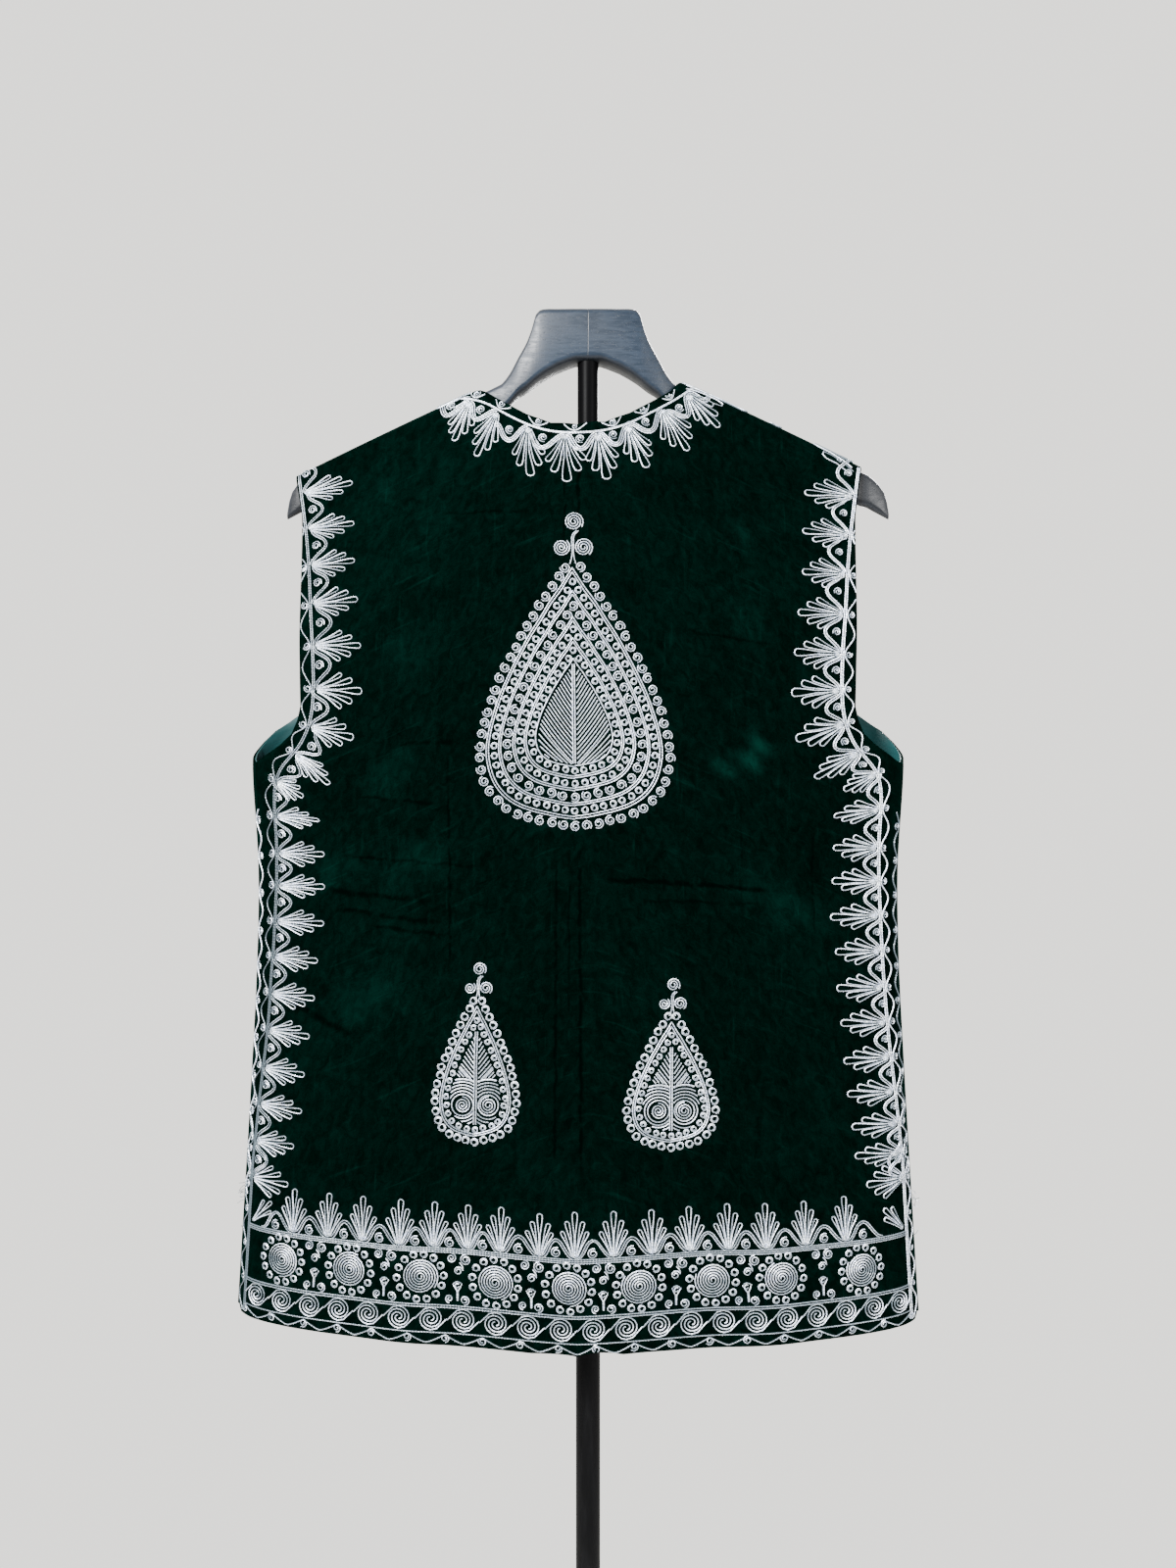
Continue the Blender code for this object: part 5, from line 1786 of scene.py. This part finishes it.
def velvet():
    """Short cotton pile, deep green, finely crinkled, brushed pale in spots, with painted shade along its
    pressed creases.
    """
    paint = Paint(
        "velvet",
        Sheen_Weight=0.02,
        Sheen_Roughness=0.30,
        Sheen_Tint=(0.01, 0.55, 0.38, 1),
        Specular_IOR_Level=0.0,
    )
    cut = paint.cut()
    crinkle = paint.noise(paint.scaled(cut, (170, 130, 1)), 1.0, 4.0, 0.66, 0.8)
    mottle = paint.noise(paint.scaled(cut, (42, 34, 1)), 1.0, 5.0, 0.62, 0.6)
    broad = paint.noise(paint.scaled(cut, (7.5, 6.0, 1)), 1.0, 3.0, 0.5)
    crushed = broad.eased(0.40, 0.72) * 0.07
    for spot in CRUSHED:
        crushed = crushed + near_spot(paint, cut, spot)
    wander = (paint.noise(paint.scaled(cut, (70, 70, 1)), 1.0, 2.0, 0.5) - 0.5) * 0.0045
    broken = paint.noise(paint.scaled(cut, (90, 90, 1)), 1.0, 2.0, 0.5).eased(0.30, 0.52)
    # Painted shade along the pressed creases, broken up by noise; the same mask also dents the bump
    pressed = 0.0
    for line in PRESSED_CREASE_SHADE:
        pressed = crease_shade_line(paint, cut, wander, line) + pressed
    pressed = pressed * broken
    lined = paint.noise(paint.scaled(cut, (20, 210, 1)), 1.0, 3.0, 0.6, 0.25).eased(0.58, 0.76)
    upright = paint.noise(paint.scaled(cut, (230, 20, 1)), 1.0, 2.0, 0.6, 0.15).eased(0.61, 0.78)
    pile = paint.noise(paint.scaled(cut, (1300, 900, 1)), 1.0, 1.0, 0.6)
    brushed = crushed * mottle.eased(0.34, 0.62, 0.35, 1.0) + (lined + upright * 0.8) * 0.15 + 0.19
    brushed = brushed + (mottle - 0.5) * 0.16 + (crinkle - 0.5) * 0.52 + (pile - 0.5) * 0.24
    # Painted shade: the colour darkens along the pressed creases
    brushed = brushed - pressed * 0.20
    colour = paint.mixed(brushed.eased(0.0, 1.0), VELVET_DARK, VELVET_PALE)
    paint.feed("Base Color", colour)
    paint.feed("Roughness", brushed.eased(0.0, 1.2, 0.95, 0.80))
    relief = mottle * 0.4 + crinkle * 0.35 + pile * 0.10 - lined * 0.30 - upright * 0.25 - pressed * 0.5
    paint.bump(relief, 0.60, 0.0012)
    return paint.material


def satin():
    """Teal lining with a fine crosswise rib and soft sheen."""
    paint = Paint("satin_lining", Specular_IOR_Level=0.12, Sheen_Weight=0.02, Sheen_Roughness=0.4)
    cut = paint.cut()
    _, down, _ = paint.split(cut)
    rib = (down * (2 * math.pi / LINING_RIB)).maths("SINE")
    slub = paint.noise(paint.scaled(cut, (30, 700, 1)), 1.0, 2.0, 0.5)
    soft = paint.noise(paint.scaled(cut, (9, 22, 1)), 1.0, 3.0, 0.5, 0.6)
    colour = paint.mixed(soft.eased(0.35, 0.7), (0.0014, 0.0105, 0.0110), (0.0040, 0.0250, 0.0260))
    paint.feed("Base Color", colour)
    paint.feed("Roughness", slub.eased(0.3, 0.7, 0.40, 0.54))
    paint.bump(rib * 0.06 + slub * 0.3 + soft * 1.2, 0.35, 0.0005)
    return paint.material


def silver_cord():
    """Twisted metal thread: silver with painted lilac and blue glints, a painted highlight on its crown,
    painted shade at its foot and between its strands.
    """
    paint = Paint("silver_cord", Metallic=0.35, Specular_IOR_Level=0.8)
    along, around, crown, tint = (paint.attribute(n) for n in ("along", "around", "crown", "tint"))
    strand = ((along * (1 / CORD_TWIST) + around) * (2 * math.pi)).maths("SINE") * 0.5 + 0.5
    place = paint.place()
    glint = paint.noise(place, 950.0, 2.0, 0.7)
    hue = paint.noise(place, 420.0, 1.0, 0.5)
    sparkle = paint.noise(place, 540.0, 2.0, 0.8).eased(0.41, 0.58, 0.46, 1.0)
    # Painted glints: the silver is tinted lilac and blue in patches
    silver = paint.mixed(hue.eased(0.40, 0.66), (0.90, 0.95, 1.0), (0.70, 0.77, 1.0))
    worn = paint.mixed(tint * 0.28, silver, (0.62, 0.66, 0.70))
    # Painted shade and highlights: darker towards the cloth (crown) and between the twisted strands
    # (strand), with painted glints and dark specks from noise (glint, sparkle)
    shade = strand.eased(-0.50, 0.55) * glint.eased(0.26, 0.50) * crown.eased(0.06, 0.54) * sparkle
    # The dark end of this mix is the painted shade colour
    paint.feed("Base Color", paint.mixed(shade, (0.04, 0.055, 0.065), worn))
    paint.feed("Roughness", glint.eased(0.35, 0.65, 0.42, 0.20))
    paint.bump(strand * 0.8 + glint * 0.3, 0.6, 0.00022)
    return paint.material


def stained_wood():
    """Black-stained hanger: grain along the arms, satin lacquer, with painted shade on its rounded edges
    and towards the arm tips.
    """
    paint = Paint("black_stained_wood", Coat_Weight=0.03, Coat_Roughness=0.35, Specular_IOR_Level=0.12)
    place = paint.place()
    across, _, _ = paint.split(place)
    grain = paint.noise(paint.scaled(place, (60, 300, 420)), 1.0, 4.0, 0.65, 0.6)
    pores = paint.noise(paint.scaled(place, (200, 900, 1500)), 1.0, 2.0, 0.6)
    cloud = paint.noise(place, 24.0, 3.0, 0.5)
    joint = 1.0 - across.maths("ABSOLUTE").eased(0.0001, 0.0005)
    tone = grain.eased(0.35, 0.68) * 0.35 + cloud * 0.65
    colour = paint.mixed(tone, (0.0010, 0.0024, 0.0046), (0.0034, 0.0074, 0.0138))
    # Painted shade: darker towards the arm tips, which turn away from the light
    colour = paint.mixed(across.maths("ABSOLUTE").eased(0.06, 0.18), colour, (0.0016, 0.0021, 0.0030))
    # Painted shade on the rounded edges, where the surface turns away from the front and back
    _, facing, _ = paint.split(paint.node("ShaderNodeTexCoord", None, None, "Normal"))
    edge = facing.maths("ABSOLUTE").eased(0.70, 0.97, 1.0, 0.0)
    # Dark pores and centre joint, together with the painted edge shade
    dark = pores.eased(0.62, 0.70) * 0.4 + joint * 0.7 + edge * 0.9
    paint.feed("Base Color", paint.mixed(dark, colour, (0.008, 0.009, 0.011)))
    paint.feed("Roughness", grain.eased(0.3, 0.7, 0.36, 0.52))
    paint.bump(grain * 0.4 - pores.eased(0.6, 0.72) * 0.5 - joint * 1.5, 0.35, 0.0004)
    return paint.material


def black_paint(name, roughness, relief, speckle, shine):
    """Black finish on steel or plastic, with a faint peel and dusty scuffs."""
    paint = Paint(name, Specular_IOR_Level=shine)
    place = paint.place()
    peel = paint.noise(place, 700.0, 2.0, 0.5)
    scuff = paint.noise(paint.scaled(place, (60, 60, 9)), 1.0, 4.0, 0.65)
    colour = paint.mixed(scuff.eased(0.5, 0.8) * speckle, (0.0006, 0.0006, 0.0007), (0.005, 0.005, 0.0055))
    paint.feed("Base Color", colour)
    paint.feed("Roughness", scuff.eased(0.3, 0.75, roughness, roughness + 0.16))
    paint.bump(peel, relief, 0.0003)
    return paint.material


def floor_paint():
    """Plain pale floor, fading out round the stand."""
    paint = Paint("pale_floor", Roughness=0.9)
    shade = paint.noise(paint.place(), 3.0, 2.0, 0.5)
    paint.feed("Base Color", paint.mixed(shade, (0.76, 0.755, 0.735), (0.78, 0.775, 0.755)))
    far = paint.vector("LENGTH", paint.place(), output=1)
    paint.feed("Alpha", far.eased(0.40, 0.84, 1.0, 0.0))
    return paint.material


# ---------------------------------------------------------------- studio


def make_studio():
    camera = bpy.data.objects.new("camera", bpy.data.cameras.new("camera"))
    camera.location = (0.0, -0.90, 1.19)
    camera.rotation_euler = (math.radians(90), 0, 0)
    camera.data.sensor_width = 36.0
    camera.data.lens = 36.0 * 1202 / 1600
    camera.data.clip_start = 0.01
    bpy.context.scene.collection.objects.link(camera)
    bpy.context.scene.camera = camera
    floor = mesh_piece(
        "floor",
        [(-1, -1, 0), (1, -1, 0), (1, 1, 0), (-1, 1, 0)],
        [(0, 1, 2, 3)],
        floor_paint(),
    )
    world = bpy.data.worlds.new("studio")
    world.use_nodes = True
    world.node_tree.nodes["Background"].inputs["Color"].default_value = (*WALL, 1)
    world.node_tree.nodes["Background"].inputs["Strength"].default_value = WALL_LIGHT
    bpy.context.scene.world = world
    for name, place, size, power in LAMPS:
        lamp = bpy.data.objects.new(name, bpy.data.lights.new(name, "AREA"))
        lamp.data.shape, lamp.data.size = "DISK", size
        lamp.data.energy = power
        lamp.location = place
        aim = Vector((0, 0, 1.15)) - Vector(place)
        lamp.rotation_euler = aim.to_track_quat("-Z", "Y").to_euler()
        bpy.context.scene.collection.objects.link(lamp)


# ---------------------------------------------------------------- the whole


def make_stand(paints):
    edge = BASE_EDGE
    neck = SOCKET_RADIUS - 2 * edge
    profile = (
        (0, SOCKET_HEIGHT),
        (neck, SOCKET_HEIGHT),
        (SOCKET_RADIUS, SOCKET_HEIGHT - 2 * edge),
        (SOCKET_RADIUS, BASE_HEIGHT),
        (BASE_RADIUS, BASE_HEIGHT),
        (BASE_RADIUS, 0),
        (0, 0),
    )
    turned = rounded(profile, (0, 1.5 * MM, 1.5 * MM, 0, 1.6 * MM, 0.8 * MM, 0))
    base = lathed("base_plate", turned, 160, paints["satin_black_steel"])
    put(base, "stand", ["base"])
    foot = SOCKET_HEIGHT + GAP
    top = ARCH_TOP - GAP
    lower = (
        (0, foot + PLUG),
        (LOWER_BORE, foot + PLUG),
        (LOWER_BORE, LOWER_TOP),
        (LOWER_RADIUS, LOWER_TOP),
        (LOWER_RADIUS, foot),
        (0, foot),
    )
    tube = lathed("lower_pole", lower, 64, paints["satin_black_steel"])
    put(tube, "stand", ["lower_tube"])
    upper = (
        (0, top),
        (UPPER_RADIUS, top),
        (UPPER_RADIUS, UPPER_LOW),
        (UPPER_BORE, UPPER_LOW),
        (UPPER_BORE, top - PLUG),
        (0, top - PLUG),
    )
    tube = lathed("upper_pole", upper, 64, paints["gloss_black_steel"])
    put(tube, "head", ["upper_tube"])
    collar = [(LOWER_BORE, COLLAR_TOP), (COLLAR_RADIUS - COLLAR_EDGE, COLLAR_TOP)]
    collar += [(COLLAR_RADIUS, COLLAR_TOP - COLLAR_EDGE)]
    for z in np.arange(COLLAR_TOP - 0.006, COLLAR_LOW + 0.008, -0.004):
        collar += [(COLLAR_RADIUS, z), (COLLAR_RADIUS - 0.0007, z - 0.0008)]
        collar += [(COLLAR_RADIUS - 0.0007, z - 0.0020), (COLLAR_RADIUS, z - 0.0028)]
    collar += [(COLLAR_RADIUS, COLLAR_LOW), (LOWER_RADIUS + GAP, COLLAR_LOW)]
    collar += [(LOWER_RADIUS + GAP, LOWER_TOP + GAP), (LOWER_BORE, LOWER_TOP + GAP)]
    grip = lathed("height_grip", collar, 64, paints["black_plastic"])
    put(grip, "stand", ["height_collar"])
    hanger = make_hanger(paints["black_stained_wood"])
    put(hanger, "head", ["hanger"])


def side_work(side, front, random):
    """Armhole and side border of one edge, down to the hem band."""
    border = Border(level(side_line(side, front)), -side if front else side)
    if front:
        return border_lines(border, random, SIDE_LEAD)
    places = [place - PALMETTE_UP for place in SIDE_PALMETTES[side]]
    given = (places, None, 2, SIDE_LEANS[side], SIDE_TALLS[side])
    return border_lines(border, random, SIDE_LEAD, *given) + seam_strip(side, SEAM_STRIP[side], random)


def hem_work(side, front, random):
    """Hem band of a panel, and beside it the foot of the borders that run down the panel's edges."""
    if front:
        seam = math.pi - math.asin(SIDE_LINE_SHARE)
        edge = math.pi - math.asin((FRONT_EDGE[-1][0] + EDGE_MARGIN) / NOMINAL_WIDTH)
        low, high = float(u_of_angle(seam)) / MM, (float(u_of_angle(edge)) - EDGE_LINE_IN) / MM
        stops = np.linspace(float(u_of_angle(SEAM_ANGLE)), float(u_of_angle(edge)), FRONT_PALMETTES + 1)
        bases = (stops[2:-1] + stops[1:-2]) / 2 / MM
        rosettes = np.linspace(low + 23.0, high - 23.0, 4)
        tops = ((SIDE_LINE_LOW - hem_height(side * seam)) / MM, (HEM_TIP_RISE + 2 * SEAM_CLEAR) / MM)
    else:
        seam = math.asin(SIDE_LINE_SHARE)
        high = float(u_of_angle(seam)) / MM
        low, bases, rosettes = -high, BACK_BASES, BACK_ROSETTES
        tops = tuple((SIDE_LINE_LOW - hem_height(a)) / MM for a in (-seam, seam))
    made = hem_lines(low + DOUBLE, high - DOUBLE, bases, rosettes, random)
    for place, inward, top in ((low, 1, tops[0]), (high, -1, tops[1])):
        made += edge_foot(place, inward, top, random)
    if side < 0:
        made = [line * (-1, 1) for line in made]
    return [hem_lay(line) for line in made]


def make_vest(paints):
    random = np.random.default_rng(7)
    tree = cord_tree(paints["silver_cord"])
    panels = {"back": (False, 0), "left_front": (True, -1), "right_front": (True, 1)}
    for label, (front, side) in panels.items():
        outline = front_outline(side) if front else back_outline()
        cords = front_cords(side, random) if front else back_cords(random)
        flat = over_the_roll(outline)
        inside = -VELVET - GAP
        panel = cloth_shell(f"{label}_velvet", flat, -VELVET, 0.0, PANEL_STEP, paints["velvet"])
        put(panel, "head", [f"{label}_panel"])
        lining = cloth_shell(
            f"{label}_satin", flat, inside - LINING, inside, LINING_STEP, paints["lining"]
        )
        put(lining, "head", [f"{label}_lining"])
        for name, lines in cords.items():
            piece = cord_piece(f"{name}_cords", lines, outline, random, tree, paints["silver_cord"])
            put(piece, "head", [name])
        if label == "back":
            threads = thread_ends(random, paints["silver_cord"])
            put(threads, "head", [])


def back_cords(random):
    made = {}
    for label, side in (("left", -1), ("right", 1)):
        made[f"border_back_{label}_side"] = side_work(side, False, random)
    neck = Border(neck_line(), 1, NECK_PITCH)
    marks = neck.points[:, 0] / MM, neck.lengths / MM - 2 * TURN_LENGTH / MM
    places, coils = (np.interp(row, *marks) for row in (NECK_PALMETTES, NECK_COILS))
    made["border_back_neck"] = border_lines(neck, random, 12.0, places, coils, 3, NECK_LEANS, NECK_TALLS)
    made["border_back_neck"] += ridge_lines(RIDGE_NECK, 1, 1.0) + ridge_lines(RIDGE_NECK[:3], -1, 0.55)
    made["border_back_right_side"] += ridge_lines(RIDGE_ARMHOLE, 1, 1.0)
    made["hem_band_back"] = hem_work(0, False, random)
    for name, row in DROPS.items():
        if row[0] == "back":
            made[name] = drop_lines(name, random)
    return made


def front_cords(side, random):
    label = "left" if side < 0 else "right"
    edge = Border(level(front_line(side)), side)
    return {
        f"border_front_{label}_side": side_work(side, True, random),
        f"border_front_{label}_edge": border_lines(edge, random),
        f"hem_band_front_{label}": hem_work(side, True, random),
        f"medallion_front_{label}": drop_lines(f"medallion_front_{label}", random),
    }


def neck_line():
    """Line of the back neck's border as flat points, from shoulder to shoulder."""
    halves = []
    for side in (-1, 1):
        corner = on_cloth(side * NECK_HALF, ridge_height(side * NECK_HALF + VEST_SHIFT))
        halves.append([on_cloth(side * x, z) for x, z in BACK_NECK[1:]] + [(corner[0], 0.001)])
    edge = halves[0][::-1] + [on_cloth(0.0, BACK_NECK[0][1])] + halves[1]
    return beside(curved(level(edge), 40), -NECK_LINE_IN * MM)


def front_line(side):
    """Double line of a front's neck and front edge border, from the shoulder down."""
    low = hem_height(math.pi) + HEM_TIP_RISE + 2 * SEAM_CLEAR
    top = on_cloth(side * (NECK_HALF + EDGE_MARGIN), ridge_height(side * NECK_HALF + VEST_SHIFT), True)
    outer = [(top[0], BORDER_START)]
    outer += [on_cloth(side * (x + EDGE_MARGIN), z, True) for x, z in FRONT_EDGE if z > low]
    outer.append(on_cloth(side * (FRONT_EDGE[-1][0] + EDGE_MARGIN), low, True))
    return [(u - side * EDGE_LINE_IN, w) for u, w in outer]


def main():
    paints = {
        "velvet": velvet(),
        "lining": satin(),
        "silver_cord": silver_cord(),
        "black_stained_wood": stained_wood(),
        "satin_black_steel": black_paint("satin_black_steel", 0.42, 0.25, 0.4, 0.03),
        "gloss_black_steel": black_paint("gloss_black_steel", 0.36, 0.10, 0.3, 0.01),
        "black_plastic": black_paint("black_plastic", 0.55, 0.30, 0.5, 0.15),
    }
    make_studio()
    make_stand(paints)
    make_vest(paints)


main()
